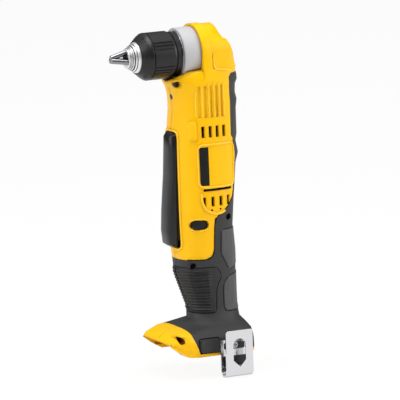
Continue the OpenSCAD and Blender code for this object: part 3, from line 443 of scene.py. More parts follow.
def turned(profile: Path, origin: Sequence[float], axis: Axis, steps: int) -> Shape:
    """Turns a closed profile about an axis.

    Args:
        profile: (along the axis, radius) points.
        origin: A point of the axis.
        axis: Direction of the axis.
        steps: Facets round the axis.

    Returns:
        A new bmesh.
    """
    bm = bmesh.new()
    along = Vector(axis.value)
    verts = [bm.verts.new((Vector(origin) + along * x + Vector((0.0, 0.0, r))) * MM) for x, r in profile]
    edges = [bm.edges.new((verts[k - 1], verts[k])) for k in range(len(verts))]
    bmesh.ops.spin(bm, geom=verts + edges, cent=Vector(origin) * MM, axis=along,
                   angle=math.tau, steps=steps, use_merge=True)
    bmesh.ops.remove_doubles(bm, verts=bm.verts, dist=SLIVER_DIST)
    bmesh.ops.recalc_face_normals(bm, faces=bm.faces)
    return bm


def rounded_plate(low: Sequence[float], high: Sequence[float], corner: float) -> Shape:
    """Makes a plate, thin along Y, with rounded corners and softened edges.

    Args:
        low: Lowest corner.
        high: Highest corner.
        corner: Radius of the corners seen along Y.

    Returns:
        A new bmesh.
    """
    corner_steps, rim_steps, rim_share, rim_angle = 6, 2, 0.2, 1.0
    size = Vector(high) - Vector(low)
    bm = bmesh.new()
    bmesh.ops.create_cube(bm, size=1.0)
    bmesh.ops.scale(bm, vec=size * MM, verts=bm.verts)
    bmesh.ops.translate(bm, vec=(Vector(high) + Vector(low)) * MM / 2, verts=bm.verts)
    across = [e for e in bm.edges if abs(e.verts[0].co.y - e.verts[1].co.y) > SLIVER_DIST]
    round_edges(bm, across, corner, corner_steps)
    rims = [e for e in bm.edges if e.calc_face_angle(0.0) > rim_angle]
    round_edges(bm, rims, min(size) * rim_share, rim_steps)
    return bm


def inside_depth(u: float, w: float, outline: Path) -> float:
    """Measures how far a flat point lies inside an outline.

    Args:
        u: First coordinate of the point.
        w: Second coordinate of the point.
        outline: Corners of the outline.

    Returns:
        Distance to the outline, below zero outside it.
    """
    nearest, inside = math.inf, False
    for (ax, ay), (bx, by) in zip(outline, (*outline[1:], outline[0])):
        dx, dy = bx - ax, by - ay
        along = max(0.0, min(1.0, ((u - ax) * dx + (w - ay) * dy) / (dx * dx + dy * dy)))
        nearest = min(nearest, math.hypot(u - ax - along * dx, w - ay - along * dy))
        if (ay > w) != (by > w) and u < ax + (w - ay) * dx / dy:
            inside = not inside
    return nearest if inside else -nearest


def softened(points: Path, corner: float, closed: bool, step: float = 0.8) -> list[Flat]:
    """Rounds the corners of a flat path and fills its straight runs with points.

    Args:
        points: The path's corners.
        corner: How far from a corner its rounding starts.
        closed: Whether the path runs back to its start.
        step: Longest run between two points.

    Returns:
        The rounded path.
    """
    most, curve_steps = 0.48, 4
    spots = [Vector(p) for p in points]
    count = len(spots)
    rough = [] if closed else [spots[0]]
    for k in range(count) if closed else range(1, count - 1):
        before, here, after = spots[k - 1], spots[k], spots[(k + 1) % count]
        back = here.lerp(before, min(most, corner / (before - here).length))
        ahead = here.lerp(after, min(most, corner / (after - here).length))
        shares = [n / curve_steps for n in range(curve_steps + 1)]
        rough += [back.lerp(here, t).lerp(here.lerp(ahead, t), t) for t in shares]
    rough.append(rough[0] if closed else spots[-1])
    path = [rough[0]]
    for a, b in zip(rough, rough[1:]):
        runs = max(1, math.ceil((b - a).length / step))
        path += [a.lerp(b, (k + 1) / runs) for k in range(runs)]
    return [tuple(p) for p in (path[:-1] if closed else path)]


class Way(Enum):
    """How flat coordinates are laid onto the casing: the direction that faces out, or round the grip."""

    LEFT = (0.0, 1.0, 0.0)
    RIGHT = (0.0, -1.0, 0.0)
    FRONT = (1.0, 0.0, 0.0)
    BACK = (-1.0, 0.0, 0.0)
    ROUND = (0.0, 0.0, 0.0)

    @property
    def label(self) -> str:
        """Gives the word that pieces on this side carry in their names."""
        return self.name.lower()


SIDES = (Way.LEFT, Way.RIGHT)


class Skin:
    """The outside of some CAD nodes, met by rays."""

    ROUND_R = 20.0
    START = 150.0

    def __init__(self, nodes: Iterable[str]) -> None:
        """Joins the nodes into one tree.

        Args:
            nodes: Names of the CAD nodes.
        """
        bm = bmesh.new()
        for node in nodes:
            bm.from_mesh(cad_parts[node].data)
        self.tree = BVHTree.FromBMesh(bm)
        bm.free()

    def meet(self, u: float, w: float, way: Way) -> tuple[Vector, Vector] | None:
        """Finds the point of the skin at flat coordinates.

        Args:
            u: Place along X, along Y for Way.FRONT and BACK, or along the arc for Way.ROUND.
            w: Height.
            way: How the coordinates are laid on.

        Returns:
            Place in metres and normal, or None where nothing is met.
        """
        if way is Way.ROUND:
            turn = u / self.ROUND_R
            out = Vector((math.cos(turn), math.sin(turn), 0.0))
            flat = Vector((0.0, 0.0, w))
        else:
            out = Vector(way.value)
            flat = Vector((abs(out.y) * u, abs(out.x) * u, w))
        place, normal, _, _ = self.tree.ray_cast((flat + out * self.START) * MM, -out)
        if place is None:
            return None
        return place, normal if normal.dot(out) > 0 else -normal


@dataclass
class Piece:
    """One finished mesh: its name, its finish, its body and the CAD nodes that it stands for."""

    name: str
    finish: Finish
    body: Body = Body.HOUSING
    stands_for: tuple[str, ...] = ()
    sharp_deg: float = 32.0
    even_shading: bool = False

    def finish_mesh(self, bm: Shape) -> None:
        """Turns a bmesh into a piece that rides on its body.

        Args:
            bm: The mesh, freed here.
        """
        mesh = bpy.data.meshes.new(self.name)
        bm.to_mesh(mesh)
        bm.free()
        mesh.shade_smooth()
        mesh.set_sharp_from_angle(angle=math.radians(self.sharp_deg))
        mesh.materials.append(self.finish.material())
        made = placed(self.name, mesh)
        if self.even_shading:
            made.modifiers.new("weighted_normals", "WEIGHTED_NORMAL").keep_sharp = True
        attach(made, self.body.value)
        if self.stands_for:
            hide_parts(*self.stands_for)
        LOG.info("%s: %d faces", self.name, len(mesh.polygons))


@dataclass
class Patch:
    """A raised panel laid onto the casing, with its edge sunk under the skin."""

    piece: Piece
    outline: Path
    way: Way
    height: float = 0.5
    edge: float = 0.9
    cell: float = 0.9
    sink: float = 0.25
    rib: Callable[[float, float], float] = lambda u, w: 0.0
    kept_cells: float = 1.6

    def build(self, skin: Skin) -> None:
        """Lays a grid on the skin and raises it inside the outline.

        Args:
            skin: Surface that the panel lies on.
        """
        us, ws = zip(*self.outline)
        wide, tall = max(us) - min(us) + 2 * self.cell, max(ws) - min(ws) + 2 * self.cell
        mid_u, mid_w = (max(us) + min(us)) / 2, (max(ws) + min(ws)) / 2
        columns, rows = math.ceil(wide / self.cell), math.ceil(tall / self.cell)
        bm = bmesh.new()
        bmesh.ops.create_grid(bm, x_segments=columns, y_segments=rows, size=0.5)
        spare = set()
        for vert in bm.verts:
            u, w = mid_u + vert.co.x * wide, mid_w + vert.co.y * tall
            depth = inside_depth(u, w, self.outline)
            met = skin.meet(u, w, self.way)
            if met is None or depth < -self.kept_cells * self.cell:
                spare.add(vert)
            if met is None:
                continue
            rise = max(0.0, min(1.0, depth / self.edge))
            rise = rise * rise * (3 - 2 * rise)
            vert.co = met[0] + met[1] * ((self.height + self.rib(u, w)) * rise - self.sink * (1 - rise)) * MM
        bmesh.ops.delete(bm, geom=[f for f in bm.faces if any(v in spare for v in f.verts)], context="FACES")
        for face in bm.faces:
            face.normal_update()
            if face.normal.dot(self._outward(face.calc_center_median())) < 0:
                face.normal_flip()
        self.piece.finish_mesh(bm)

    def _outward(self, place: Vector) -> Vector:
        """Gives the direction away from the casing at a place."""
        return Vector((place.x, place.y, 0.0)) if self.way is Way.ROUND else Vector(self.way.value)


@dataclass(frozen=True)
class Section:
    """Round section of a line on the casing: its radius, its lift off the skin and its path's corners."""

    radius: float
    lift: float = 0.0
    corner: float = 4.0
    steps: int = 3


@dataclass
class Line:
    """A thin ridge or shadow that follows a path on the casing."""

    piece: Piece
    path: Path
    way: Way
    section: Section
    closed: bool = False

    def build(self, skin: Skin) -> None:
        """Sweeps the section along the path.

        Args:
            skin: Surface that the line lies on.
        """
        soft = softened(self.path, self.section.corner, self.closed)
        met = [m for m in (skin.meet(u, w, self.way) for u, w in soft) if m]
        places = [place + normal * self.section.lift * MM for place, normal in met]
        data = bpy.data.curves.new(self.piece.name, "CURVE")
        data.dimensions = "3D"
        data.bevel_depth = self.section.radius * MM
        data.bevel_resolution = self.section.steps
        data.use_fill_caps = True
        spline = data.splines.new("POLY")
        spline.points.add(len(places) - 1)
        for point, place in zip(spline.points, places):
            point.co = (*place, 1.0)
        spline.use_cyclic_u = self.closed
        rod = placed(self.piece.name, data)
        solid = bpy.data.meshes.new_from_object(rod.evaluated_get(bpy.context.evaluated_depsgraph_get()))
        bpy.data.objects.remove(rod)
        bpy.data.curves.remove(data)
        bm = bmesh.new()
        bm.from_mesh(solid)
        bpy.data.meshes.remove(solid)
        self.piece.finish_mesh(bm)


@dataclass(frozen=True)
class Lamp:
    """A soft square lamp, placed in metres by the camera's right, the vertical and the way to the camera."""

    name: str
    side: float
    rise: float
    near: float
    size: float
    power: float


@dataclass
class Studio:
    """Camera, lamps, floor and backdrop."""

    target: tuple[float, float, float] = (0.0, 0.0, 148.0)
    distance: float = 4400.0
    azimuth: float = 155.0
    elevation: float = 10.0
    roll: float = 2.0
    lens: float = 450.0
    sensor: float = 36.0
    near_clip: float = 100.0
    far_clip: float = 50000.0
    aim_right: float = -5.28
    aim_up: float = -15.4
    floor_z: float = -19.5
    floor_half: float = 6000.0
    floor_grey: float = 0.82
    floor_glow: float = 0.92
    sky: Path = ((0.0, 0.06), (1.0, 0.55), (0.5, 0.24))
    lamps: tuple[Lamp, ...] = (
        Lamp("key_lamp", side=-1.6, rise=0.8, near=0.6, size=1.5, power=18.0),
        Lamp("fill_lamp", side=1.6, rise=0.6, near=0.4, size=1.2, power=17.0),
        Lamp("top_lamp", side=-0.2, rise=1.6, near=0.2, size=1.2, power=18.0))

    def axes(self) -> tuple[Vector, Vector, Vector]:
        """Works out where the camera points.

        Returns:
            Right, up and backward directions of the camera.
        """
        a, e, r = (math.radians(v) for v in (self.azimuth, self.elevation, self.roll))
        right = Vector((math.cos(a), math.sin(a), 0.0))
        back = Vector((math.sin(a) * math.cos(e), -math.cos(a) * math.cos(e), math.sin(e)))
        up = back.cross(right)
        return (right * math.cos(r) - up * math.sin(r), right * math.sin(r) + up * math.cos(r), back)

    def build(self) -> None:
        """Makes the camera, the lamps, the floor and the sky."""
        self._camera()
        for lamp in self.lamps:
            self._lamp(lamp)
        self._floor()
        self._world()

    def _camera(self) -> None:
        """Places the camera at the photograph's angle."""
        right, up, back = self.axes()
        data = bpy.data.cameras.new("camera")
        data.lens = self.lens
        data.sensor_width = self.sensor
        data.clip_start = self.near_clip * MM
        data.clip_end = self.far_clip * MM
        camera = placed("camera", data)
        aim = Vector(self.target) + right * self.aim_right + up * self.aim_up
        place = (aim + back * self.distance) * MM
        turn = Matrix((right, up, back)).transposed().to_4x4()
        camera.matrix_world = Matrix.Translation(place) @ turn
        bpy.context.scene.camera = camera

    def _lamp(self, lamp: Lamp) -> None:
        """Adds one lamp that points at the object's middle.

        Args:
            lamp: Place, size and power of the lamp.
        """
        right, _, back = self.axes()
        flat = Vector((back.x, back.y, 0.0)).normalized()
        level = Vector((right.x, right.y, 0.0)).normalized()
        data = bpy.data.lights.new(lamp.name, "AREA")
        data.shape = "SQUARE"
        data.size = lamp.size
        data.energy = lamp.power
        middle = Vector(self.target) * MM
        place = middle + level * lamp.side + flat * lamp.near + Vector((0.0, 0.0, lamp.rise))
        turn = (middle - place).to_track_quat("-Z", "Y").to_matrix().to_4x4()
        placed(lamp.name, data).matrix_world = Matrix.Translation(place) @ turn

    def _floor(self) -> None:
        """Makes the pale floor under the object."""
        bm = bmesh.new()
        bmesh.ops.create_grid(bm, x_segments=1, y_segments=1, size=self.floor_half * MM)
        bmesh.ops.translate(bm, vec=(0.0, 0.0, self.floor_z * MM), verts=bm.verts)
        mesh = bpy.data.meshes.new("floor")
        bm.to_mesh(mesh)
        bm.free()
        mesh.materials.append(self._floor_material())
        floor = placed("floor", mesh)

    def _floor_material(self) -> bpy.types.Material:
        """Makes a matt floor, white to the camera but for the object's shadow.

        Returns:
            The material.
        """
        made = bpy.data.materials.new("pale_floor")
        made.use_nodes = True
        tree = made.node_tree
        tree.nodes.remove(tree.nodes["Principled BSDF"])
        matt = tree.nodes.new("ShaderNodeBsdfDiffuse")
        matt.inputs["Color"].default_value = (self.floor_grey, self.floor_grey, self.floor_grey, 1.0)
        glow = tree.nodes.new("ShaderNodeEmission")
        mix = tree.nodes.new("ShaderNodeMixShader")
        path = tree.nodes.new("ShaderNodeLightPath")
        seen = math_node(tree, "MAXIMUM", path.outputs["Is Camera Ray"], path.outputs["Is Glossy Ray"])
        seen = math_node(tree, "MAXIMUM", seen, path.outputs["Is Transmission Ray"])
        tree.links.new(math_node(tree, "MULTIPLY", seen, self.floor_glow), mix.inputs["Fac"])
        tree.links.new(matt.outputs[0], mix.inputs[1])
        tree.links.new(glow.outputs[0], mix.inputs[2])
        tree.links.new(mix.outputs[0], tree.nodes["Material Output"].inputs["Surface"])
        return made

    def _world(self) -> None:
        """Lights the object from a soft sky that is paler overhead."""
        world = bpy.data.worlds.new("studio")
        bpy.context.scene.world = world
        world.use_nodes = True
        tree = world.node_tree
        place = tree.nodes.new("ShaderNodeTexCoord")
        split = tree.nodes.new("ShaderNodeSeparateXYZ")
        ramp = tree.nodes.new("ShaderNodeValToRGB")
        tree.links.new(place.outputs["Generated"], split.inputs[0])
        tree.links.new(split.outputs["Z"], ramp.inputs["Fac"])
        stops = ramp.color_ramp.elements
        for stop, (spot, grey) in zip((*stops, stops.new(0.5)), self.sky):
            stop.position = spot
            stop.color = (grey, grey, grey, 1.0)
        tree.links.new(ramp.outputs["Color"], tree.nodes["Background"].inputs["Color"])
        bpy.context.scene.view_settings.view_transform = "Standard"


@dataclass
class Casing:
    """Yellow shells and soft grip, smoothed from their solids."""

    shells: tuple[str, ...] = SHELLS
    grips: tuple[str, ...] = GRIPS

    def build(self) -> None:
        """Makes the smooth shells, then the smooth grip."""
        for nodes, finish in ((self.shells, YELLOW), (self.grips, GRIP)):
            for node in nodes:
                piece = Piece(f"smooth_{node}", finish, stands_for=(node,), even_shading=True)
                piece.finish_mesh(merged(node))


@dataclass
class GripPanels:
    """Ribbed front panel, back panels and near-black lines of painted shade in their grooves on the soft
    grip.
    """

    skin: Skin
    front_half: Path = ((28.5, 34.8), (29.5, 58.0), (34.5, 67.5), (29.0, 76.6))
    front_height: float = 0.45
    front_edge: float = 1.2
    front_cell: float = 0.62
    rib_pitch: float = 2.77
    rib_height: float = 0.8
    rib_low: float = 36.5
    rib_top: float = 75.0
    rib_reach: float = 25.0
    rib_fade: float = 2.5
    rib_tip: float = 0.8
    upper: Path = ((31.5, 110.0), (31.5, 88.0), (41.0, 72.0), (60.0, 77.0), (60.0, 110.0))
    lower: Path = ((36.0, 60.0), (36.0, 38.0), (38.5, 35.0), (60.0, 35.0), (60.0, 70.0), (41.0, 66.0))
    back_height: float = 0.6
    groove: Section = Section(0.35, lift=-0.1)
    pad: Path = rectangle(8.6, 28.1, 2.9, 16.1)
    pad_groove: Section = Section(0.45, lift=-0.05, corner=2.0)

    def build(self) -> None:
        """Lays the panels on the grip, each with a near-black line of painted shade round it as its groove.
        """
        front = (*self.front_half, *((-u, w) for u, w in reversed(self.front_half)))
        panel = Piece("grip_front_panel", RIBBED_SHADED)
        Patch(panel, front, Way.ROUND, self.front_height, self.front_edge, self.front_cell,
              rib=self._rib).build(self.skin)
        groove = Piece("grip_front_groove", GROOVE_SHADOW)
        Line(groove, front, Way.ROUND, self.groove, closed=True).build(self.skin)
        for way in SIDES:
            groove = Piece(f"foot_pad_groove_{way.label}", GROOVE_SHADOW)
            Line(groove, self.pad, way, self.pad_groove, closed=True).build(self.skin)
        for name, outline in (("upper", self.upper), ("lower", self.lower)):
            for way in SIDES:
                shape = [(way.value[1] * u, w) for u, w in outline]
                panel = Piece(f"grip_{name}_panel_{way.label}", REAR_LIT)
                Patch(panel, shape, Way.ROUND, self.back_height).build(self.skin)
                groove = Piece(f"grip_{name}_groove_{way.label}", GROOVE_SHADOW)
                Line(groove, shape, Way.ROUND, self.groove, closed=True).build(self.skin)

    def _rib(self, u: float, w: float) -> float:
        """Gives the height of the cross ribs at a place round the front.

        Args:
            u: Place along the arc.
            w: Height of the place.

        Returns:
            Rise of the rib over the panel.
        """
        ends = max(0.0, min(1.0, (self.rib_reach - abs(u)) / self.rib_fade))
        tips = max(0.0, min(1.0, (w - self.rib_low) / self.rib_tip, (self.rib_top - w) / self.rib_tip))
        wave = 0.5 - 0.5 * math.cos(math.tau * (w - self.rib_low) / self.rib_pitch)
        return self.rib_height * wave * ends * tips


@dataclass
class ShellRelief:
    """Rims, ribs, bosses and dots on the yellow shells; the rims and ribs are partly painted highlight, and
    the dots and the slot's shadow are painted shade.
    """

    skin: Skin
    lip: Section = Section(1.2, lift=0.1, corner=6.0)
    lip_side: float = 1.4
    lip_below: float = 2.6
    lip_above: float = 1.6
    vent_rim: Path = ((17.6, 144.0), (17.3, 135.5), (14.2, 128.6), (8.3, 125.4), (1.2, 124.6),
                      (-9.3, 129.0), (-15.5, 134.5))
    vent_section: Section = Section(1.1, lift=0.2)
    panel: Path = rectangle(-15.2, 19.3, 149.0, 186.6)
    panel_section: Section = Section(0.9, lift=0.05, corner=5.0)
    slot: Path = ((-11.8, 146.3), (15.2, 146.3))
    slot_section: Section = Section(1.25, lift=-0.6)
    button_gap: float = 1.6
    button_section: Section = Section(0.8, lift=-0.2, corner=9.0)
    rib_foot_z: float = 210.8
    ribs: Path = ((18.8, 234.5), (13.6, 237.5), (7.6, 241.0), (2.6, 241.5), (-2.3, 240.5), (-6.6, 239.5))
    rib_section: Section = Section(1.0, lift=-0.3)
    step: Path = ((0.1, 265.0), (0.6, 252.0), (-16.5, 250.2))
    step_section: Section = Section(0.9, lift=-0.1)
    boss: Path = rectangle(18.6, 26.2, 189.6, 208.4)
    boss_height: float = 1.7
    boss_edge: float = 3.0
    boss_cell: float = 0.5
    dots: Path = ((8.4, 128.6), (0.4, 128.9))
    dot_r: float = 0.95
    dot_deep: float = 0.6
    dot_proud: float = 0.06
    dot_facets: int = 20

    def build(self) -> None:
        """Lays the paddle's lip, then the relief of each side."""
        low, high = corners("paddle")
        side = high.y + self.lip_side
        opening = rectangle(-side, side, low.z - self.lip_below, high.z + self.lip_above)
        lip = Piece("paddle_opening_lip", RIM_HIGHLIGHT)
        Line(lip, opening, Way.FRONT, self.lip, closed=True).build(self.skin)
        for way in SIDES:
            self._lines(way)
            boss = Piece(f"soft_boss_{way.label}", YELLOW)
            Patch(boss, self.boss, way, self.boss_height, self.boss_edge, self.boss_cell).build(self.skin)
            self._vent_dots(way)

    def _lines(self, way: Way) -> None:
        """Lays the ridges and the slot's shadow on one side.

        Args:
            way: The side.
        """
        low, high = corners("direction_button")
        gap = self.button_gap
        button = rectangle(low.x - gap, high.x + gap, low.z - gap, high.z + gap)
        lines = [
            ("vent_rim", RIM_HIGHLIGHT, self.vent_rim, self.vent_section, False),
            ("panel_rim", RIM_HIGHLIGHT, self.panel, self.panel_section, True),
            ("long_slot_shadow", GROOVE_SHADOW, self.slot, self.slot_section, False),
            ("button_rim", RIM_HIGHLIGHT, button, self.button_section, True)]
        for name, finish, path, section, closed in lines:
            Line(Piece(f"{name}_{way.label}", finish), path, way, section, closed).build(self.skin)
        for k, (x, top) in enumerate(self.ribs):
            rib = Piece(f"head_rib_{way.label}_{k}", RIM_HIGHLIGHT)
            Line(rib, ((x, self.rib_foot_z), (x, top)), way, self.rib_section).build(self.skin)
        Line(Piece(f"head_step_{way.label}", RIM_HIGHLIGHT), self.step, way, self.step_section).build(self.skin)

    def _vent_dots(self, way: Way) -> None:
        """Sets near-black dots of painted shade into one side by the vents.

        Args:
            way: The side.
        """
        for k, (x, z) in enumerate(self.dots):
            place, _ = self.skin.meet(x, z, way)
            profile = [(-self.dot_deep, 0.0), (self.dot_proud, 0.0),
                       (self.dot_proud, self.dot_r), (-self.dot_deep, self.dot_r)]
            dot = turned(profile, place / MM, Axis.Y, self.dot_facets)
            Piece(f"vent_dot_{way.label}_{k}", GROOVE_SHADOW).finish_mesh(dot)


@dataclass
class SelectorWindow:
    """Dark floor of the window that the speed selector slides in, and the slot through that floor."""

    skin: Skin
    travel: float = 7.0
    half_w: float = 6.4
    end_gap: float = 0.4
    slot_half_w: float = 3.5
    slot_inset: float = 2.0
    slot_gap: float = 0.4
    overlap: float = 1.1
    floor_height: float = 0.15
    floor_edge: float = 0.1
    floor_cell: float = 0.3
    floor_sink: float = -0.12
    liner_wall: float = 0.2
    liner_depth: float = 3.0

    def __post_init__(self) -> None:
        """Works out the ends of the window and of its slot from the selector's solid."""
        low, high = corners("speed_selector")
        self.bottom = low.z - self.end_gap
        self.top = high.z + self.travel + self.end_gap
        self.slot_low = low.z + self.slot_inset
        self.slot_top = high.z + self.travel - self.slot_inset

    def build(self) -> None:
        """Lays the floor on the four sides of the slot, then lines the slot."""
        inner, across = self.slot_half_w + self.slot_gap, self.slot_half_w + self.overlap
        floors = {
            "left": rectangle(inner, self.half_w, self.bottom, self.top),
            "right": rectangle(-self.half_w, -inner, self.bottom, self.top),
            "low": rectangle(-across, across, self.bottom, self.slot_low - self.slot_gap),
            "top": rectangle(-across, across, self.slot_top + self.slot_gap, self.top)}
        for name, outline in floors.items():
            piece = Piece(f"selector_window_{name}", BLACK)
            Patch(piece, outline, Way.BACK, self.floor_height, self.floor_edge, self.floor_cell,
                  self.floor_sink).build(self.skin)
        floor = max(self.skin.meet(inner, w, Way.BACK)[0].x for w in (self.bottom, self.top)) / MM
        self._liner(floor)

    def _liner(self, floor: float) -> None:
        """Makes the thin walls of the slot.

        Args:
            floor: Where the walls start along X.
        """
        middle = Vector((floor + self.liner_depth / 2, 0.0, (self.slot_low + self.slot_top) / 2))
        size = Vector((self.liner_depth, 2 * self.slot_half_w, self.slot_top - self.slot_low))
        matrix = Matrix.Translation(middle * MM) @ Matrix.Diagonal((*(size * MM), 1.0))
        bm = bmesh.new()
        bmesh.ops.create_cube(bm, size=1.0, matrix=matrix)
        ends = [f for f in bm.faces if abs(f.normal.x) > 0.5]
        bmesh.ops.inset_region(bm, faces=ends, thickness=self.liner_wall * MM, use_even_offset=True,
                               use_boundary=True)
        rims = [e for f in ends for e in f.edges]
        bmesh.ops.delete(bm, geom=ends, context="FACES_ONLY")
        bmesh.ops.bridge_loops(bm, edges=rims)
        bmesh.ops.recalc_face_normals(bm, faces=bm.faces)
        Piece("selector_slot_liner", BLACK).finish_mesh(bm)


@dataclass
class GripSeams:
    """Near-black lines of painted shade along the seams where the grip meets the yellow shells."""

    skin: Skin
    path: Path = ((28.0, 84.0), (6.4, 84.0), (6.4, 121.0), (-6.0, 128.1), (-16.0, 140.2), (-16.0, 188.0))
    section: Section = Section(0.42, corner=9.0)

    def build(self) -> None:
        """Draws the seam on each side."""
        for way in SIDES:
            seam = Piece(f"grip_seam_{way.label}", GROOVE_SHADOW)
            Line(seam, self.path, way, self.section).build(self.skin)


@dataclass
class ScrewHoles:
    """Liners of the deep screw holes on the left, which run along Y."""

    skin: Skin
    bore_r: float = 2.7
    facets: int = 40
    grip_liner_r: float = 2.98
    grip_holes: tuple[Flat, ...] = ((24.2, 78.4), (-8.5, 120.5))
    grip_ends: tuple[Flat, ...] = ((14.05, 18.4), (21.05, 24.6))
    foot_liner_r: float = 2.94
    foot_hole: Flat = (44.0, 15.9)
    foot_ends: Flat = (20.05, 36.0)
    probe_r: float = 3.4
    probe_turns: tuple[float, float, float] = (0.5, 2.6, 4.7)
    mouth_drop: float = 0.8

    def build(self) -> None:
        """Lines the two holes through the grip with its rubber, then the hole in the foot's hood."""
        for k, (hole, ends) in enumerate(zip(self.grip_holes, self.grip_ends)):
            liner = Piece(f"screw_hole_liner_{k}", GRIP)
            liner.finish_mesh(self._tube(hole, ends, self.grip_liner_r))
        self._foot_liner()

    def _tube(self, hole: Flat, ends: Flat, outer_r: float) -> Shape:
        """Makes a tube round a screw hole.

        Args:
            hole: Place of the hole along X and its height.
            ends: Where the tube starts and ends along Y.
            outer_r: Outer radius of the tube.

        Returns:
            A new bmesh.
        """
        low, high = ends
        profile = [(low, self.bore_r), (high, self.bore_r), (high, outer_r), (low, outer_r)]
        return turned(profile, (hole[0], 0.0, hole[1]), Axis.Y, self.facets)

    def _foot_liner(self) -> None:
        """Lines the deep part of the foot's hole, cut off along the slope of the hood."""
        x, z = self.foot_hole
        around = [(x + self.probe_r * math.cos(t), z + self.probe_r * math.sin(t)) for t in self.probe_turns]
        first, second, third = (self.skin.meet(u, w, Way.LEFT)[0] for u, w in around)
        slope = (second - first).cross(third - first).normalized()
        slope *= math.copysign(1.0, slope.y)
        mouth = (first + second + third) / 3 - slope * self.mouth_drop * MM
        bm = self._tube(self.foot_hole, self.foot_ends, self.foot_liner_r)
        cut = bmesh.ops.bisect_plane(bm, geom=[*bm.verts, *bm.edges, *bm.faces], plane_co=mouth,
                                     plane_no=slope, clear_outer=True)
        rim = [e for e in cut["geom_cut"] if isinstance(e, bmesh.types.BMEdge)]
        bmesh.ops.bridge_loops(bm, edges=rim)
        bmesh.ops.recalc_face_normals(bm, faces=bm.faces)
        Piece("foot_hole_liner", SHADE).finish_mesh(bm)


@dataclass
class BareStrip:
    """Dark bare strip on the left of the barrel."""

    corner: float = 2.2
    corner_steps: int = 5
    near: float = 0.2

    def build(self) -> None:
        """Rounds the forward corners of the strip."""
        low, high = corners("name_strip")

        def forward_corner(place: Vector) -> bool:
            """Tells whether an edge is one of the two forward corners."""
            to_end = min(abs(place.z - low.z), abs(place.z - high.z))
            return place.x > high.x - self.near and to_end < self.near

        bm = rounded("name_strip", self.corner, self.corner_steps, pick=forward_corner, clamp=False)
        Piece("rounded_strip", STRIP, stands_for=("name_strip",)).finish_mesh(bm)


class Relief(Enum):
    """What is raised or cut on the sleeve: the width of its slope and its rise."""

    PAD = (0.4, 0.86)
    RIDGE = (0.4, 0.84)
    NOTCH = (0.12, -0.3)


@dataclass
class Sleeve:
    """Chuck sleeve with its pads, narrow ridges and rounded front."""

    base_drop: float = 0.9
    clear: float = 0.02
    sectors: int = 6
    facets: int = 240
    sharp_deg: float = 40.0
    back_round: Path = ((0.0, 1.2), (0.4, 0.4), (1.2, 0.0))
    back_land: float = 2.6
    front_land: float = 10.4
    land_ramp: float = 0.6
    pad_half_deg: float = 19.5
    ridge_deg: Flat = (22.5, 28.5)
    notch_deg: float = 9.0
    notch_pitch_deg: float = 6.0
    notch_w_deg: float = 3.0
    run_r: float = 15.5
    hole_r: float = 18.6
    hole_ramp: float = 1.0
    mouth_r: float = 14.25
    mouth_len: float = 2.9
    lip: float = 3.0
    nose: Path = ((8.6, 0.0), (7.4, 0.35), (5.6, 1.5), (3.6, 3.1), (1.8, 4.7), (0.5, 6.0), (0.0, 6.4))
    notch_from: float = 5.6
    notch_to: float = 3.6

    def __post_init__(self) -> None:
        """Works out the ends, the axis and the radii from the sleeve's solid."""
        low, high = corners("chuck_sleeve")
        self.back, self.front = low.x, high.x
        self.axis_z = (low.z + high.z) / 2
        self.full = (high.y - low.y) / 2 - self.clear
        self.base = (high.y - low.y) / 2 - self.base_drop
        self.pad_front = self.front - self.front_land

    def build(self) -> None:
        """Turns the sleeve, then raises or cuts its relief."""
        bm = turned(self._profile(), (0.0, 0.0, self.axis_z), Axis.X, self.facets)
        found: dict[Relief, list[bmesh.types.BMFace]] = {kind: [] for kind in Relief}
        for face in bm.faces:
            kind = self._relief_at(face.calc_center_median() / MM)
            if kind:
                found[kind].append(face)
        for kind, faces in found.items():
            slope, rise = kind.value
            bmesh.ops.inset_region(bm, faces=faces, thickness=slope * MM, depth=rise * MM,
                                   use_even_offset=True, use_boundary=True)
        Piece("ridged_sleeve", BLACK, Body.SLEEVE, ("chuck_sleeve",), self.sharp_deg).finish_mesh(bm)

    def _profile(self) -> list[Flat]:
        """Draws the wall's closed section.

        Returns:
            (along X, radius) points.
        """
        step = self.front - self.mouth_len
        front_lip, back_lip = step - self.lip, self.back + self.lip
        return [
            (self.back, self.run_r),
            *((self.back + ahead, self.base - drop) for ahead, drop in self.back_round),
            (self.back + self.back_land, self.base), (self.pad_front, self.base),
            (self.pad_front + self.land_ramp, self.full),
            *((self.front - behind, self.full - drop) for behind, drop in self.nose),
            (self.front, self.mouth_r), (step, self.mouth_r), (step, self.run_r), (front_lip, self.run_r),
            (front_lip - self.hole_ramp, self.hole_r), (back_lip, self.hole_r), (back_lip, self.run_r)]

    def _relief_at(self, place: Vector) -> Relief | None:
        """Tells what the sleeve carries at a place.

        Args:
            place: Middle of a face.

        Returns:
            The kind of relief, or None where the sleeve is plain.
        """
        side, rise = place.y, place.z - self.axis_z
        radius = math.hypot(side, rise)
        turn = math.degrees(math.atan2(side, rise)) % (360 / self.sectors)
        off = abs(turn - 180 / self.sectors)
        behind = self.front - place.x
        if radius > self.hole_r and self.back + self.back_land < place.x < self.pad_front:
            if off < self.pad_half_deg:
                return Relief.PAD
            if self.ridge_deg[0] < off < self.ridge_deg[1]:
                return Relief.RIDGE
        elif self.notch_to < behind < self.notch_from and radius > self.run_r + self.hole_ramp:
            if off < self.notch_deg and off % self.notch_pitch_deg < self.notch_w_deg:
                return Relief.NOTCH
        return None


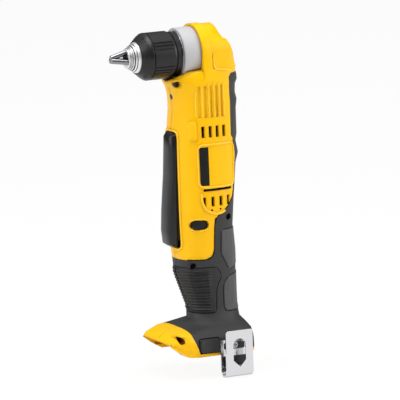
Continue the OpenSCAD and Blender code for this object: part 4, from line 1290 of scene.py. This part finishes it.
@dataclass
class Chuck:
    """Collar, sleeve, nose rings and jaws."""

    sleeve: Sleeve
    collar_round: float = 0.8
    collar_steps: int = 4
    collar_r: float = 22.0
    near: float = 0.05
    rings: int = 4
    ring_start: float = 1.2
    ring_pitch: float = 1.75
    ring_half_w: float = 0.3
    ring_deep: float = 0.4
    ring_back_lip: float = 0.3
    ring_front_lip: float = 0.04
    ring_facets: int = 96
    nose_r: float = 8.05
    nose_slope: float = 0.62
    jaw_round: float = 0.5
    jaw_steps: int = 3

    def build(self) -> None:
        """Makes the pieces of the chuck that are seen."""
        self.sleeve.build()
        self._collar()
        self._nose_rings()
        for k in (1, 2, 3):
            jaw = Piece(f"rounded_jaw_{k}", JAW, Body[f"JAW_{k}"], (f"jaw_{k}",))
            jaw.finish_mesh(rounded(f"jaw_{k}", self.jaw_round, self.jaw_steps))

    def _collar(self) -> None:
        """Rounds the front edge of the gear case's collar."""
        front = corners("gear_case")[1].x

        def front_rim(place: Vector) -> bool:
            """Tells whether an edge lies on the collar's front rim."""
            radius = math.hypot(place.y, place.z - self.sleeve.axis_z)
            return place.x > front - self.near and radius > self.collar_r

        bm = rounded("gear_case", self.collar_round, self.collar_steps, pick=front_rim)
        Piece("rounded_gear_case", ALLOY, stands_for=("gear_case",)).finish_mesh(bm)

    def _nose_rings(self) -> None:
        """Lays turned rings of dark steel in the front of the nose, as painted shade of its grooves."""
        front = corners("chuck_body")[1].x
        for k in range(self.rings):
            x = front - self.ring_start - self.ring_pitch * k
            r = self.nose_r + (front - x) * self.nose_slope
            back_x, front_x, inner_r = x - self.ring_half_w, x + self.ring_half_w, r - self.ring_deep
            profile = [(back_x, inner_r), (back_x, r + self.ring_back_lip),
                       (front_x, r + self.ring_front_lip), (front_x, inner_r)]
            ring = turned(profile, (0.0, 0.0, self.sleeve.axis_z), Axis.X, self.ring_facets)
            # Painted shade: the rings take the dark screw steel so that the grooves read dark.
            Piece(f"nose_ring_{k}", SCREW, Body.SPINDLE).finish_mesh(ring)


@dataclass
class Controls:
    """Paddle, direction button and speed selector."""

    skirt_y: float = 9.9
    skirt_t: float = 0.8
    skirt_back: float = 27.2
    skirt_front: float = 33.5
    skirt_low: float = 99.0
    skirt_top: float = 182.0
    skirt_corner: float = 3.0
    skirt_taper: float = 3.4
    taper_zone: float = 2.5
    button_round: float = 0.9
    button_steps: int = 3
    selector_round: float = 0.5
    selector_steps: int = 2
    steep_deg: float = 50.0

    def build(self) -> None:
        """Makes the controls."""
        Piece("smooth_paddle", BLACK, Body.PADDLE, ("paddle",)).finish_mesh(merged("paddle"))
        self._skirts()
        bm = rounded("direction_button", self.button_round, self.button_steps, self.steep_deg)
        Piece("rounded_button", STRIP, Body.BUTTON, ("direction_button",)).finish_mesh(bm)
        bm = rounded("speed_selector", self.selector_round, self.selector_steps, self.steep_deg)
        Piece("rounded_selector", BLACK, Body.SELECTOR, ("speed_selector",)).finish_mesh(bm)

    def _skirts(self) -> None:
        """Makes the thin walls that run back from the paddle into the casing, narrower at the foot."""
        for way in SIDES:
            side = way.value[1]
            inner, outer = sorted((side * self.skirt_y, side * (self.skirt_y + self.skirt_t)))
            low = (self.skirt_back, inner, self.skirt_low)
            high = (self.skirt_front, outer, self.skirt_top)
            bm = rounded_plate(low, high, self.skirt_corner)
            for vert in bm.verts:
                if vert.co.x < (self.skirt_back + self.taper_zone) * MM:
                    fall = (self.skirt_top * MM - vert.co.z) / (self.skirt_top - self.skirt_low)
                    vert.co.x += self.skirt_taper * fall
            Piece(f"paddle_skirt_{way.label}", BLACK, Body.PADDLE).finish_mesh(bm)


@dataclass
class Hook:
    """Belt hook of bent sheet."""

    round_over: float = 0.3
    round_steps: int = 2
    opening_y: Flat = (36.85, 37.25)
    opening_corner: float = 1.6
    openings: tuple[tuple[Flat, Flat], ...] = (((-14.5, 5.5), (4.6, 10.6)), ((-16.0, 7.0), (-10.5, -1.4)))

    def build(self) -> None:
        """Rounds the edges of the sheet and lays black plates of painted shade in the openings of its inner
        leg.
        """
        hook = Piece("rounded_hook", HOOK, stands_for=("belt_hook",), even_shading=True)
        hook.finish_mesh(rounded("belt_hook", self.round_over, self.round_steps))
        # Painted shade: black plates where the openings of the inner leg fall in shade.
        for k, (wide, tall) in enumerate(self.openings):
            low, high = zip(wide, self.opening_y, tall)
            bm = rounded_plate(low, high, self.opening_corner)
            Piece(f"hook_leg_opening_{k}", BLACK).finish_mesh(bm)


def dress_nodes() -> None:
    """Gives each carried-over CAD node its finish."""
    for finish, nodes in NODES_BY_FINISH.items():
        for node in nodes:
            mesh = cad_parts[node].data
            mesh.materials.clear()
            mesh.materials.append(finish.material())
            LOG.info("%s: %s", node, finish.name)


def main() -> None:
    """Builds the studio and each sub-assembly in order."""
    logging.basicConfig(level=logging.INFO, format="%(message)s")
    for grain in Grain:
        grain.value.build()
    Studio().build()
    dress_nodes()
    shells, grips = Skin(SHELLS), Skin(GRIPS)
    both = Skin((*SHELLS, *GRIPS))
    parts = (Casing(), GripPanels(grips), ShellRelief(shells), SelectorWindow(shells), GripSeams(both),
             ScrewHoles(shells), BareStrip(), Chuck(Sleeve()), Controls(), Hook())
    for part in parts:
        part.build()


if __name__ == "__main__":
    main()
